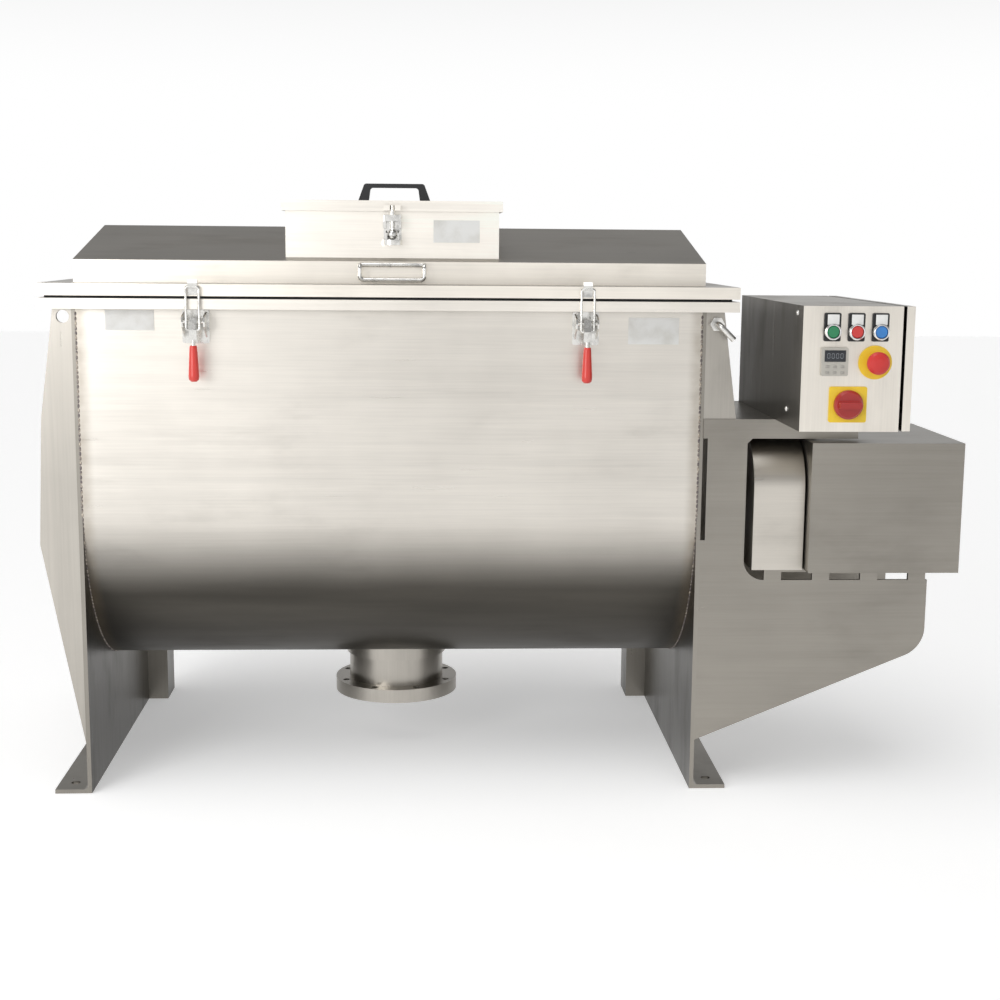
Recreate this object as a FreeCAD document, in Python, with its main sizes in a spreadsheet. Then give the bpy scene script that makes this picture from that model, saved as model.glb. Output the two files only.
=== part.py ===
import FreeCAD, Part
import math
import os
import Sketcher

# Horizontal ribbon blender: a U trough between two end plates that are also its legs,
# a gabled lid with a feed hatch, a double ribbon agitator, and a chain drive on a side bracket.
# Frame: X along the shaft, Y from the front to the back with 0 on the shaft axis, Z up from the floor.

SIZES = [
    ("trough_length", 1168, "inside length between the end plates"),
    ("trough_radius", 366, "inside radius of the U shell"),
    ("shell_wall", 4, "shell sheet"),
    ("plate_thickness", 8, "end plates, gussets and drive bracket"),
    ("shaft_height", 571, "shaft axis above the floor"),
    ("rim_height", 957, "top of the trough rim"),
    ("rim_drop", 19, "height of the rim's outer lip"),
    ("rim_sheet", 4, "rim sheet"),
    ("rim_reach", 35, "rim in front of the shell and behind it"),
    ("rim_end_reach", 56, "rim past each end plate"),
    ("foot_width", 63, "floor flange outside the end plate"),
    ("foot_hole_inset", 40, "floor bolt hole from the end of the flange"),
    ("foot_hole_radius", 9, "floor bolt hole"),
    ("gusset_top", 32, "gusset width under the rim"),
    ("gusset_upper", 62, "gusset width at its upper bend"),
    ("gusset_wide", 73, "gusset width at its widest"),
    ("gusset_upper_height", 733, "height of the gusset's upper bend"),
    ("gusset_wide_height", 492, "height of the gusset's widest point"),
    ("gusset_foot_height", 100, "height where the gusset runs out"),
    ("lifting_hole_radius", 12, "lifting hole in a gusset"),
    ("post_width", 45, "rear post along X"),
    ("post_depth", 92, "rear post along Y"),
    ("post_inset", 6, "rear post from the back edge of the end plate"),
    ("post_wall", 4, "rear post tube wall"),
    ("outlet_radius", 100, "outside of the outlet pipe"),
    ("outlet_wall", 4, "outlet pipe wall"),
    ("outlet_drop", 95, "underside of the outlet flange below the trough"),
    ("outlet_flange_radius", 130, "outlet flange"),
    ("outlet_flange_thickness", 28, "outlet flange"),
    ("outlet_bolt_circle", 115, "radius of the outlet bolt circle"),
    ("outlet_bolt_radius", 7, "outlet bolt hole"),
    ("outlet_bolt_count", 8, "outlet bolt holes"),
    ("collar_width", 6, "ring round the top of the outlet pipe"),
    ("collar_drop", 10, "depth of that ring below the trough"),
    ("shaft_radius", 35, "main shaft in the trough"),
    ("journal_radius", 30, "main shaft in its bearings"),
    ("running_gap", 0.05, "radial gap of a running fit"),
    ("seal_flange_radius", 72, "seal housing flange"),
    ("seal_flange_thickness", 12, "seal housing flange"),
    ("seal_neck_radius", 48, "seal housing neck"),
    ("seal_length", 36, "seal housing from flange to gland"),
    ("bearing_offset", 50, "bearing flange seat from the end plate"),
    ("bearing_square", 165, "bearing flange side"),
    ("bearing_flange", 14, "bearing flange thickness"),
    ("bearing_hub_radius", 58, "bearing hub"),
    ("bearing_depth", 36, "bearing housing along the shaft"),
    ("bearing_bolt_spacing", 124, "bearing bolt holes, side of the square"),
    ("bearing_bolt_radius", 7, "bearing bolt"),
    ("bracket_sheet", 8, "bearing bracket sheet"),
    ("ribbon_radius", 358, "outer edge of the outer ribbons"),
    ("ribbon_width", 50, "outer ribbon, radial"),
    ("ribbon_thickness", 8, "ribbon bar thickness"),
    ("inner_ribbon_radius", 215, "outer edge of the inner ribbons"),
    ("inner_ribbon_width", 40, "inner ribbon, radial"),
    ("ribbon_start", 12, "gap between a ribbon's inner end and mid trough"),
    ("ribbon_end_gap", 12, "gap between a ribbon and the end plate"),
    ("arm_first", 70, "first arm from mid trough"),
    ("arm_last", 64, "last arm from the end plate"),
    ("arm_radius", 12, "arm bar"),
    ("arm_overlap", 30, "arm into the outer ribbon's width"),
    ("chain_pitch", 31.75, "roller chain pitch"),
    ("roller_radius", 9.5, "chain roller"),
    ("chain_inner_width", 19, "between the chain's inner plates"),
    ("chain_plate", 4, "chain plate thickness"),
    ("chain_plate_height", 28, "chain plate height"),
    ("driven_teeth", 19, "teeth on the shaft sprocket"),
    ("motor_teeth", 13, "teeth on the motor sprocket"),
    ("chain_links", 32, "links in the chain"),
    ("sprocket_width", 17, "sprocket tooth width"),
    ("drive_plane", 146, "chain centre plane from the end plate"),
    ("output_radius", 22.5, "reducer output shaft"),
    ("reducer_nose", 55, "reducer casting round its output shaft, radius"),
    ("reducer_radius", 112, "reducer casting, radius"),
    ("reducer_length", 84, "reducer casting along X"),
    ("reducer_foot", 210, "reducer foot along Y"),
    ("motor_flange", 95, "motor flange radius"),
    ("motor_flange_depth", 18, "motor flange along X with its slope"),
    ("motor_frame", 78, "motor frame radius between its fins"),
    ("motor_cowl", 90, "motor fan cowl radius"),
    ("motor_cowl_depth", 42, "motor fan cowl along X"),
    ("motor_fin", 4, "motor cooling fin thickness"),
    ("motor_length", 184, "motor along X"),
    ("guard_radius", 126, "half the chain guard's height"),
    ("guard_front", 137, "guard front ahead of the motor shaft"),
    ("guard_corner", 100, "guard's upper front corner radius"),
    ("guard_width", 98, "chain guard along X"),
    ("guard_sheet", 2, "guard sheet"),
    ("bracket_reach", 448, "drive bracket past the end plate"),
    ("bracket_tip_drop", 286, "drive bracket's lower outer corner below the shaft axis"),
    ("arm_drop", 150, "top of the drive bracket's lower arm below the shaft axis"),
    ("bracket_corner", 60, "rounding of the drive bracket's lower outer corner"),
    ("window_offset", 86, "bracket window from the end plate"),
    ("window_chamfer", 10, "upper corner of the bracket window"),
    ("window_corner", 40, "lower corner radius of the bracket window"),
    ("slot_width", 9, "slot between the end plate and the drive bracket"),
    ("slot_rise", 127, "top of that slot above the shaft axis"),
    ("slot_drop", 71, "bottom of that slot below the shaft axis"),
    ("rear_bracket_depth", 280, "rear bracket plate behind the front one"),
    ("shelf_rise", 164, "top of the control shelf above the shaft axis"),
    ("shelf_reach", 298, "control shelf past the end plate"),
    ("shelf_lip", 37, "front lip of the control shelf"),
    ("shelf_sheet", 4, "control shelf sheet"),
    ("cabinet_inset", 136, "cabinet from the end plate"),
    ("cabinet_width", 200, "cabinet with its door"),
    ("cabinet_depth", 547, "cabinet along Y"),
    ("cabinet_height", 223, "cabinet"),
    ("cabinet_overhang", 200, "cabinet in front of the end plates"),
    ("cabinet_sheet", 2, "cabinet sheet"),
    ("door_depth", 15, "cabinet door tray"),
    ("door_gap", 6, "seal gap behind the cabinet door"),
    ("base_sheet", 8, "motor base plate and the blocks under it"),
    ("base_block", 34, "motor base block along X"),
    ("cover_length", 292, "motor cover along X"),
    ("cover_depth", 333, "motor cover along Y"),
    ("cover_height", 250, "motor cover"),
    ("cover_gap", 4, "between the chain guard and the motor cover"),
    ("lid_gap", 5, "seal gap between the rim and the lid"),
    ("lid_rim", 22, "height of the lid's edge frame"),
    ("lid_sheet", 3, "lid sheet"),
    ("dome_inset", 50, "lid dome from the lid's ends"),
    ("dome_setback", 90, "lid dome from the lid's front edge"),
    ("dome_wall", 42, "height of the dome's front wall"),
    ("ridge_rise", 66, "ridge above the dome's front wall"),
    ("seal_width", 18, "lid seal"),
    ("seal_inset", 22, "middle of the lid seal from the lid's edge"),
    ("clearance", 0.3, "between faces of pieces that move apart"),
    ("hatch_half", 203, "half the hatch neck along X"),
    ("hatch_front", 285, "hatch neck in front of the ridge"),
    ("hatch_back", 115, "hatch neck behind the ridge"),
    ("hatch_stand", 40, "hatch neck above the ridge"),
    ("hatch_seal", 5, "hatch seal height with its gap"),
    ("hatch_skirt", 20, "height of the hatch cover's edge"),
    ("skirt_gap", 4, "hatch cover's edge from the neck"),
    ("hinge_offset", 20, "lid hinge pin behind the rim"),
    ("hinge_spread", 400, "lid hinge from mid length"),
    ("hinge_barrel", 12, "lid hinge barrel radius"),
    ("hinge_pin", 6, "lid hinge pin radius"),
    ("hinge_length", 38, "lid hinge barrel length"),
    ("hatch_hinge_spread", 120, "hatch hinge from mid length"),
    ("clamp_spread", 363, "toggle clamp from mid length"),
    ("clamp_width", 50, "clamp base plate"),
    ("clamp_height", 62, "clamp base plate"),
    ("keeper_thickness", 4, "clamp keeper tongue"),
    ("keeper_width", 17, "clamp keeper tongue"),
    ("bail_rod", 5, "clamp bail rod diameter"),
    ("bail_half", 12, "clamp bail leg from the clamp's middle"),
    ("clamp_drop", 42, "clamp handle pivot below the top of the rim"),
    ("bail_throw", 16, "bail pivot below the handle pivot"),
    ("grip_radius", 10, "red grip at its thick end"),
    ("grip_length", 66, "red grip"),
    ("grip_drop", 43, "top of the grip below the clamp pivot"),
    ("neck_radius", 4, "neck between the clamp handle and its grip"),
    ("neck_length", 10, "neck between the clamp handle and its grip"),
    ("lid_handle_width", 121, "lid handle between rod centres"),
    ("lid_handle_rod", 8, "lid handle rod diameter"),
    ("lid_handle_height", 28, "lid handle between rod centres"),
    ("lid_handle_stand", 26, "lid handle from the dome wall"),
    ("grip_handle_width", 148, "hatch handle"),
    ("grip_handle_height", 38, "hatch handle"),
    ("grip_handle_bar", 8, "hatch handle bar thickness"),
    ("button_radius", 11, "push button"),
    ("button_pitch", 43, "push buttons, centre to centre"),
    ("holder_width", 30, "button legend holder"),
    ("holder_height", 50, "button legend holder"),
    ("panel_plate", 3, "holder, ring and plate thickness"),
    ("first_button", 52, "left push button from the cabinet's left side"),
    ("button_drop", 45, "push buttons below the cabinet's top"),
    ("stop_across", 131, "stop button from the cabinet's left side"),
    ("stop_drop", 99, "stop button below the cabinet's top"),
    ("stop_ring_radius", 30, "stop button ring"),
    ("switch_across", 85, "main switch from the cabinet's left side"),
    ("switch_drop", 174, "main switch below the cabinet's top"),
    ("switch_width", 68, "main switch plate"),
    ("switch_height", 64, "main switch plate"),
    ("switch_radius", 26, "main switch knob"),
    ("display_across", 34, "speed display from the cabinet's left side"),
    ("display_drop", 73, "speed display below the cabinet's top"),
    ("display_width", 48, "speed display"),
    ("display_height", 50, "speed display"),
]


class Size:
    """A number together with the sheet expression that it comes from."""

    def __init__(self, number, text):
        self.number = float(number)
        self.text = text

    def __add__(self, other):
        return combined(self, other, "+", self.number + number(other))

    def __radd__(self, other):
        return combined(other, self, "+", number(other) + self.number)

    def __sub__(self, other):
        return combined(self, other, "-", self.number - number(other))

    def __rsub__(self, other):
        return combined(other, self, "-", number(other) - self.number)

    def __mul__(self, other):
        return combined(self, other, "*", self.number * number(other))

    def __rmul__(self, other):
        return combined(other, self, "*", number(other) * self.number)

    def __truediv__(self, other):
        return combined(self, other, "/", self.number / number(other))

    def __neg__(self):
        return combined(0, self, "-", -self.number)

    def __float__(self):
        return self.number


def number(value):
    return value.number if isinstance(value, Size) else float(value)


def text(value):
    return value.text if isinstance(value, Size) else "%.6f" % value


def combined(left, right, sign, result):
    return Size(result, "(%s %s %s)" % (text(left), sign, text(right)))


def bind(item, path, value):
    """Tie one property of a document object to the sheet."""
    if isinstance(value, Size):
        item.setExpression(path, value.text)


def low(side, near, far):
    """Lower X of a span that lies near..far from the middle, on side -1 or 1."""
    return near if side > 0 else -far


def high(side, near, far):
    return far if side > 0 else -near


doc = FreeCAD.newDocument("ribbon_blender")
sheet = doc.addObject("Spreadsheet::Sheet", "Sizes")
for row, (alias, amount, note) in enumerate(SIZES, start=1):
    sheet.set("A%d" % row, alias)
    sheet.set("B%d" % row, str(amount))
    sheet.set("C%d" % row, note)
    sheet.setAlias("B%d" % row, alias)
doc.recompute()


def size(alias):
    return Size(sheet.get(alias), "Sizes." + alias)


# ---------------------------------------------------------------- modelling helpers

PLANES = {"XY": "XY_Plane", "XZ": "XZ_Plane", "YZ": "YZ_Plane"}
TURNS = {
    "z": FreeCAD.Rotation(),
    "-z": FreeCAD.Rotation(FreeCAD.Vector(1, 0, 0), 180),
    "x": FreeCAD.Rotation(FreeCAD.Vector(0, 1, 0), 90),
    "-x": FreeCAD.Rotation(FreeCAD.Vector(0, 1, 0), -90),
    "y": FreeCAD.Rotation(FreeCAD.Vector(1, 0, 0), -90),
    "-y": FreeCAD.Rotation(FreeCAD.Vector(1, 0, 0), 90),
}
nodes = []


def keep(item, label):
    """Name a finished sub-part."""
    item.Label = label
    nodes.append(item)
    return item


def new_body(name):
    body = doc.addObject("PartDesign::Body", name)
    body.AllowCompound = True
    return body


def new_sketch(body, plane, offset=0):
    sketch = body.newObject("Sketcher::SketchObject", body.Name + "_sketch")
    role = PLANES[plane]
    support = [item for item in body.Origin.OriginFeatures if item.Role == role][0]
    sketch.AttachmentSupport = [(support, "")]
    sketch.MapMode = "FlatFace"
    sketch.AttachmentOffset = FreeCAD.Placement(FreeCAD.Vector(0, 0, number(offset)), FreeCAD.Rotation())
    bind(sketch, "AttachmentOffset.Base.z", offset)
    return sketch


def fix_point(sketch, geometry, position, across, up):
    """Dimension one point of a sketch from the sketch's origin."""
    rules = [
        Sketcher.Constraint("DistanceX", -1, 1, geometry, position, number(across)),
        Sketcher.Constraint("DistanceY", -1, 1, geometry, position, number(up)),
    ]
    for index, value in zip(sketch.addConstraint(rules), (across, up)):
        bind(sketch, "Constraints[%d]" % index, value)


def draw_outline(sketch, points):
    """A closed outline of straight lines through the points."""
    count = len(points)
    first = sketch.GeometryCount
    corners = [FreeCAD.Vector(number(point[0]), number(point[1]), 0) for point in points]
    lines = [Part.LineSegment(corners[i], corners[(i + 1) % count]) for i in range(count)]
    sketch.addGeometry(lines, False)
    followers = [first + (i + 1) % count for i in range(count)]
    joints = [Sketcher.Constraint("Coincident", first + i, 2, followers[i], 1) for i in range(count)]
    sketch.addConstraint(joints)
    for i, point in enumerate(points):
        fix_point(sketch, first + i, 1, point[0], point[1])


def draw_circle(sketch, across, up, radius):
    index = sketch.GeometryCount
    centre = FreeCAD.Vector(number(across), number(up), 0)
    sketch.addGeometry(Part.Circle(centre, FreeCAD.Vector(0, 0, 1), number(radius)), False)
    fix_point(sketch, index, 3, across, up)
    rule = sketch.addConstraint(Sketcher.Constraint("Radius", index, number(radius)))
    bind(sketch, "Constraints[%d]" % rule, radius)


def rectangle(left, bottom, right, top, corner=None):
    ends = ((left, bottom), (right, bottom), (right, top), (left, top))
    return [(x, y, corner) if corner else (x, y) for x, y in ends]


def draw(sketch, loops):
    for loop in loops:
        if loop[0] == "circle":
            draw_circle(sketch, loop[1], loop[2], loop[3])
        else:
            draw_outline(sketch, loop)


def along(plane, point):
    """Sketch coordinates of a space point on a plane of that name."""
    return {"XY": (point.x, point.y), "XZ": (point.x, point.z), "YZ": (point.y, point.z)}[plane]


def edges_at(shape, plane, corner):
    """Names of the edges that stand upright on the sketch plane at a corner."""
    names = []
    for index, edge in enumerate(shape.Edges, start=1):
        if len(edge.Vertexes) != 2:
            continue
        marks = [along(plane, vertex.Point) for vertex in edge.Vertexes]
        gaps = [math.hypot(mark[0] - number(corner[0]), mark[1] - number(corner[1])) for mark in marks]
        if max(gaps) < 0.01:
            names.append("Edge%d" % index)
    return names


def extrude(body, kind, plane, loops, start, end):
    """Pad or Pocket the loops between two coordinates along the plane's normal axis."""
    offset = -end if plane == "XZ" else start
    sketch = new_sketch(body, plane, offset)
    draw(sketch, loops)
    before = body.Shape.Volume if body.Shape and not body.Shape.isNull() else 0.0
    feature = body.newObject("PartDesign::" + kind, body.Name + "_" + kind.lower())
    feature.Profile = sketch
    feature.Length = number(end - start)
    bind(feature, "Length", end - start)
    feature.Reversed = kind == "Pocket"
    doc.recompute()
    if kind == "Pocket" and body.Shape.Volume >= before - 1e-6:
        raise RuntimeError("pocket cuts nothing: " + body.Name)
    rounds = {}
    for loop in loops:
        if loop[0] == "circle":
            continue
        for corner in loop:
            if len(corner) == 3:
                rounds.setdefault(text(corner[2]), []).append(corner)
    for corners in rounds.values():
        names = [name for corner in corners for name in edges_at(body.Tip.Shape, plane, corner)]
        round_off(body, names, corners[0][2])
    return feature


def round_off(body, names, radius):
    base = body.Tip
    fillet = body.newObject("PartDesign::Fillet", body.Name + "_fillet")
    fillet.Base = (base, names)
    fillet.Radius = number(radius)
    bind(fillet, "Radius", radius)
    doc.recompute()


def plate(name, plane, loops, start, end):
    body = new_body(name)
    extrude(body, "Pad", plane, loops, start, end)
    return body


def pattern(body, feature, axis_name, count):
    """Repeat a feature round an axis of the body."""
    axis = [item for item in body.Origin.OriginFeatures if item.Role == axis_name][0]
    polar = body.newObject("PartDesign::PolarPattern", body.Name + "_pattern")
    polar.Originals = [feature]
    polar.Axis = (axis, [""])
    polar.Angle = 360
    polar.Occurrences = int(number(count))
    bind(polar, "Occurrences", count)
    body.Tip = polar
    doc.recompute()
    return polar


def place(item, direction, across, deep, up):
    """Put an object's local Z along a direction, at a position tied to the sheet."""
    spot = FreeCAD.Vector(number(across), number(deep), number(up))
    item.Placement = FreeCAD.Placement(spot, TURNS[direction])
    for path, value in (("x", across), ("y", deep), ("z", up)):
        bind(item, "Placement.Base." + path, value)


def turned(name, direction, at, profile):
    """A turned piece: (radius, distance along the axis) points revolved about the axis."""
    body = new_body(name)
    sketch = new_sketch(body, "XZ")
    draw_outline(sketch, profile)
    feature = body.newObject("PartDesign::Revolution", name + "_revolution")
    feature.Profile = sketch
    feature.ReferenceAxis = (sketch, ["V_Axis"])
    feature.Angle = 360
    place(body, direction, *at)
    doc.recompute()
    return body


def joined(name, pieces):
    """One node made of several solids or of pieces welded together."""
    fuse = doc.addObject("Part::MultiFuse", name)
    fuse.Shapes = pieces
    doc.recompute()
    return fuse


def cut(name, base, tool):
    result = doc.addObject("Part::Cut", name)
    result.Base = base
    result.Tool = tool
    doc.recompute()
    return result


def bent_rod(name, points, diameter, bend):
    """A round rod along straight runs joined by tangent bends."""
    corners = [FreeCAD.Vector(*[number(value) for value in point]) for point in points]
    edges = []
    start = corners[0]
    for before, corner, after in zip(corners, corners[1:], corners[2:]):
        back = (before - corner).normalize()
        forth = (after - corner).normalize()
        half = math.acos(max(-1.0, min(1.0, back * forth))) / 2
        reach = number(bend) / math.tan(half)
        first = corner + back * reach
        last = corner + forth * reach
        middle_way = (back + forth).normalize()
        middle = corner + middle_way * (number(bend) / math.sin(half) - number(bend))
        edges.append(Part.LineSegment(start, first).toShape())
        edges.append(Part.Arc(first, middle, last).toShape())
        start = last
    edges.append(Part.LineSegment(start, corners[-1]).toShape())
    path = Part.Wire(edges)
    ring = Part.Circle(corners[0], corners[1] - corners[0], number(diameter) / 2)
    profile = Part.Wire([ring.toShape()])
    item = doc.addObject("Part::Feature", name)
    item.Shape = path.makePipe(Part.Face(profile))
    return item


# ---------------------------------------------------------------- shared places

shaft_height = size("shaft_height")
plate_thickness = size("plate_thickness")
shell_wall = size("shell_wall")
clearance = size("clearance")
running_gap = size("running_gap")
half_length = size("trough_length") / 2
plate_outer = half_length + plate_thickness
shell_outer = size("trough_radius") + shell_wall
rim_height = size("rim_height")
rim_sheet = size("rim_sheet")
rim_under = rim_height - rim_sheet
rim_half_x = plate_outer + size("rim_end_reach")
rim_half_y = shell_outer + size("rim_reach")
rim_bottom = rim_height - size("rim_drop")
shelf_height = shaft_height + size("shelf_rise")
bolt_hole = size("bearing_bolt_radius") + clearance
seal_bolt_share = 0.6
zero = Size(0, "0")


# ---------------------------------------------------------------- trough and legs

def trough_shell():
    body = new_body("trough_shell")
    for kind, radius in (("Pad", shell_outer), ("Pocket", size("trough_radius"))):
        sides = rectangle(-radius, shaft_height, radius, rim_under)
        sketch = new_sketch(body, "YZ", -half_length)
        first = sketch.GeometryCount
        top = number(rim_under)
        axis = number(shaft_height)
        reach = number(radius)
        circle = Part.Circle(FreeCAD.Vector(0, axis, 0), FreeCAD.Vector(0, 0, 1), reach)
        sketch.addGeometry([
            Part.LineSegment(FreeCAD.Vector(-reach, top, 0), FreeCAD.Vector(-reach, axis, 0)),
            Part.ArcOfCircle(circle, math.pi, 2 * math.pi),
            Part.LineSegment(FreeCAD.Vector(reach, axis, 0), FreeCAD.Vector(reach, top, 0)),
            Part.LineSegment(FreeCAD.Vector(reach, top, 0), FreeCAD.Vector(-reach, top, 0)),
        ], False)
        sketch.addConstraint([
            Sketcher.Constraint("Coincident", first, 2, first + 1, 1),
            Sketcher.Constraint("Coincident", first + 1, 2, first + 2, 1),
            Sketcher.Constraint("Coincident", first + 2, 2, first + 3, 1),
            Sketcher.Constraint("Coincident", first + 3, 2, first, 1),
        ])
        fix_point(sketch, first, 1, sides[3][0], sides[3][1])
        fix_point(sketch, first + 1, 1, sides[0][0], sides[0][1])
        fix_point(sketch, first + 1, 3, 0, shaft_height)
        fix_point(sketch, first + 3, 1, sides[2][0], sides[2][1])
        sketch.addConstraint(Sketcher.Constraint("PointOnObject", first + 2, 1, first + 1))
        sketch.addConstraint(Sketcher.Constraint("Vertical", first + 2))
        feature = body.newObject("PartDesign::" + kind, "trough_" + kind.lower())
        feature.Profile = sketch
        feature.Length = number(half_length * 2)
        bind(feature, "Length", half_length * 2)
        feature.Reversed = kind == "Pocket"
        doc.recompute()
    bore = size("outlet_radius") - size("outlet_wall")
    extrude(body, "Pocket", "XY", [("circle", 0, 0, bore)], shaft_height - shell_outer - shell_wall,
            shaft_height)
    return keep(body, "trough_shell")


def seal_bolt_places():
    """Seal flange bolt centres, square to the shaft."""
    reach = size("seal_flange_radius") * seal_bolt_share
    return [(across, shaft_height + up) for across in (-reach, reach) for up in (-reach, reach)]


def end_plate(side, label):
    near = low(side, half_length, plate_outer)
    far = high(side, half_length, plate_outer)
    holes = [("circle", 0, shaft_height, size("shaft_radius") + size("shell_wall"))]
    holes += [("circle", across, up, bolt_hole) for across, up in seal_bolt_places()]
    outline = rectangle(-shell_outer, 0, shell_outer, rim_under)
    body = plate(label, "YZ", [outline] + holes, near, far)
    foot_near = low(side, half_length, plate_outer + size("foot_width"))
    foot_far = high(side, half_length, plate_outer + size("foot_width"))
    hole_x = (plate_outer + size("foot_width") / 2) * side
    hole_y = shell_outer - size("foot_hole_inset")
    foot = [rectangle(foot_near, -shell_outer, foot_far, shell_outer)]
    foot += [("circle", hole_x, place_y, size("foot_hole_radius")) for place_y in (-hole_y, hole_y)]
    extrude(body, "Pad", "XY", foot, 0, plate_thickness)
    bend = edges_at(body.Tip.Shape, "XZ", (plate_outer * side, plate_thickness))
    round_off(body, bend, plate_thickness)
    return keep(body, label)


def gusset(name, side, front, bottom):
    """A tapering stiffener on the outside of an end plate, in the plane of its front or back edge."""
    start = low(front, shell_outer - plate_thickness, shell_outer)
    end = high(front, shell_outer - plate_thickness, shell_outer)
    upper = size("gusset_upper_height")
    corners = [(plate_outer * side, rim_under)]
    if bottom is None:
        corners += [(plate_outer * side, size("gusset_foot_height"))]
        corners += [((plate_outer + size("gusset_wide")) * side, size("gusset_wide_height"))]
        corners += [((plate_outer + size("gusset_upper")) * side, upper)]
    else:
        corners += [(plate_outer * side, bottom)]
        corners += [((plate_outer + size("gusset_upper")) * side, bottom)]
    corners += [((plate_outer + size("gusset_top")) * side, rim_under)]
    hole_x = (plate_outer + size("gusset_top") / 2) * side
    radius = size("lifting_hole_radius")
    hole = ("circle", hole_x, rim_bottom - radius - shell_wall, radius)
    loops = [corners, hole] if bottom is None else [corners]
    return plate(name, "XZ", loops, start, end)


def end_gussets():
    pieces = [
        gusset("gusset_left_front", -1, -1, None),
        gusset("gusset_left_back", -1, 1, None),
        gusset("gusset_right_back", 1, 1, None),
        gusset("gusset_right_front", 1, -1, shelf_height),
    ]
    return keep(joined("gussets", pieces), "end_gussets")


def trough_rim():
    body = new_body("trough_rim")
    inner_y = size("trough_radius")
    ring = [rectangle(-rim_half_x, -rim_half_y, rim_half_x, rim_half_y),
            rectangle(-half_length, -inner_y, half_length, inner_y)]
    extrude(body, "Pad", "XY", ring, rim_bottom, rim_height)
    lip_x = rim_half_x - rim_sheet
    lip_y = rim_half_y - rim_sheet
    extrude(body, "Pocket", "XY", [rectangle(-lip_x, -lip_y, lip_x, lip_y)], rim_bottom, rim_under)
    return keep(body, "trough_rim")


def rear_posts():
    back = shell_outer - size("post_inset")
    front = back - size("post_depth")
    wall = size("post_wall")
    posts = []
    for side in (-1, 1):
        near = low(side, half_length - size("post_width"), half_length)
        far = high(side, half_length - size("post_width"), half_length)
        body = new_body("post_left" if side < 0 else "post_right")
        tube = [rectangle(near, front, far, back),
                rectangle(near + wall, front + wall, far - wall, back - wall)]
        extrude(body, "Pad", "XY", tube, 0, shaft_height)
        extrude(body, "Pocket", "YZ", [("circle", 0, shaft_height, shell_outer)], near, far)
        posts.append(body)
    return keep(joined("posts", posts), "rear_posts")


def discharge_spout():
    radius = size("outlet_radius")
    trough_bottom = shaft_height - shell_outer
    bottom = trough_bottom - size("outlet_drop")
    flange_top = bottom + size("outlet_flange_thickness")
    bore = radius - size("outlet_wall")
    body = plate("spout", "XY", [("circle", 0, 0, size("outlet_flange_radius")), ("circle", 0, 0, bore)],
                 bottom, flange_top)
    extrude(body, "Pad", "XY", [("circle", 0, 0, radius), ("circle", 0, 0, bore)], bottom, shaft_height)
    collar = radius + size("collar_width")
    extrude(body, "Pad", "XY", [("circle", 0, 0, collar), ("circle", 0, 0, bore)],
            trough_bottom - size("collar_drop"), shaft_height)
    extrude(body, "Pocket", "YZ", [("circle", 0, shaft_height, shell_outer)], -collar, collar)
    half_step = math.pi / number(size("outlet_bolt_count"))
    bolt_x = size("outlet_bolt_circle") * math.cos(half_step)
    bolt_y = size("outlet_bolt_circle") * math.sin(half_step)
    bolt = extrude(body, "Pocket", "XY", [("circle", bolt_x, bolt_y, size("outlet_bolt_radius"))], bottom,
                   flange_top)
    pattern(body, bolt, "Z_Axis", size("outlet_bolt_count"))
    return keep(body, "discharge_spout")


# ---------------------------------------------------------------- bearings, seals and bolts

seal_face = plate_outer + size("seal_flange_thickness")
bearing_seat = plate_outer + size("bearing_offset")
bearing_flange_face = bearing_seat + size("bearing_flange")
bearing_end = bearing_seat + size("bearing_depth")
bearing_half = size("bearing_square") / 2
bracket_back = bearing_seat - size("bracket_sheet")
head_height_share = 1.3
head_radius_share = 1.75


def seal_housings():
    pieces = []
    for side, direction in ((-1, "-x"), (1, "x")):
        bore = size("shaft_radius") + running_gap
        profile = [(bore, 0), (size("seal_flange_radius"), 0),
                   (size("seal_flange_radius"), size("seal_flange_thickness")),
                   (size("seal_neck_radius"), size("seal_flange_thickness")),
                   (size("seal_neck_radius"), size("seal_length")), (bore, size("seal_length"))]
        name = "seal_left" if side < 0 else "seal_right"
        body = turned(name, direction, (plate_outer * side, 0, shaft_height), profile)
        reach = size("seal_flange_radius") * seal_bolt_share
        holes = [("circle", across, up, bolt_hole) for across in (-reach, reach) for up in (-reach, reach)]
        extrude(body, "Pocket", "XY", holes, zero, size("seal_flange_thickness"))
        pieces.append(body)
    return keep(joined("seals", pieces), "shaft_seal_housings")


def bearing_bolt_places():
    reach = size("bearing_bolt_spacing") / 2
    return [(across, shaft_height + up) for across in (-reach, reach) for up in (-reach, reach)]


def bearing_brackets():
    pieces = []
    top = shaft_height + bearing_half
    bottom = shaft_height - bearing_half
    sheet_size = size("bracket_sheet")
    for side in (-1, 1):
        foot = plate_outer * side
        seat = bearing_seat * side
        inside = bracket_back * side
        profile = [(foot, bottom), (seat, bottom), (seat, top), (foot, top), (foot, top - sheet_size),
                   (inside, top - sheet_size), (inside, bottom + sheet_size), (foot, bottom + sheet_size)]
        name = "bearing_bracket_left" if side < 0 else "bearing_bracket_right"
        body = plate(name, "XZ", [profile], -bearing_half, bearing_half)
        holes = [("circle", 0, shaft_height, size("journal_radius") + size("shell_wall"))]
        holes += [("circle", across, up, bolt_hole) for across, up in bearing_bolt_places()]
        extrude(body, "Pocket", "YZ", holes, low(side, bracket_back, bearing_seat),
                high(side, bracket_back, bearing_seat))
        pieces.append(body)
    return keep(joined("bearing_bracket_pair", pieces), "bearing_brackets")


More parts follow.
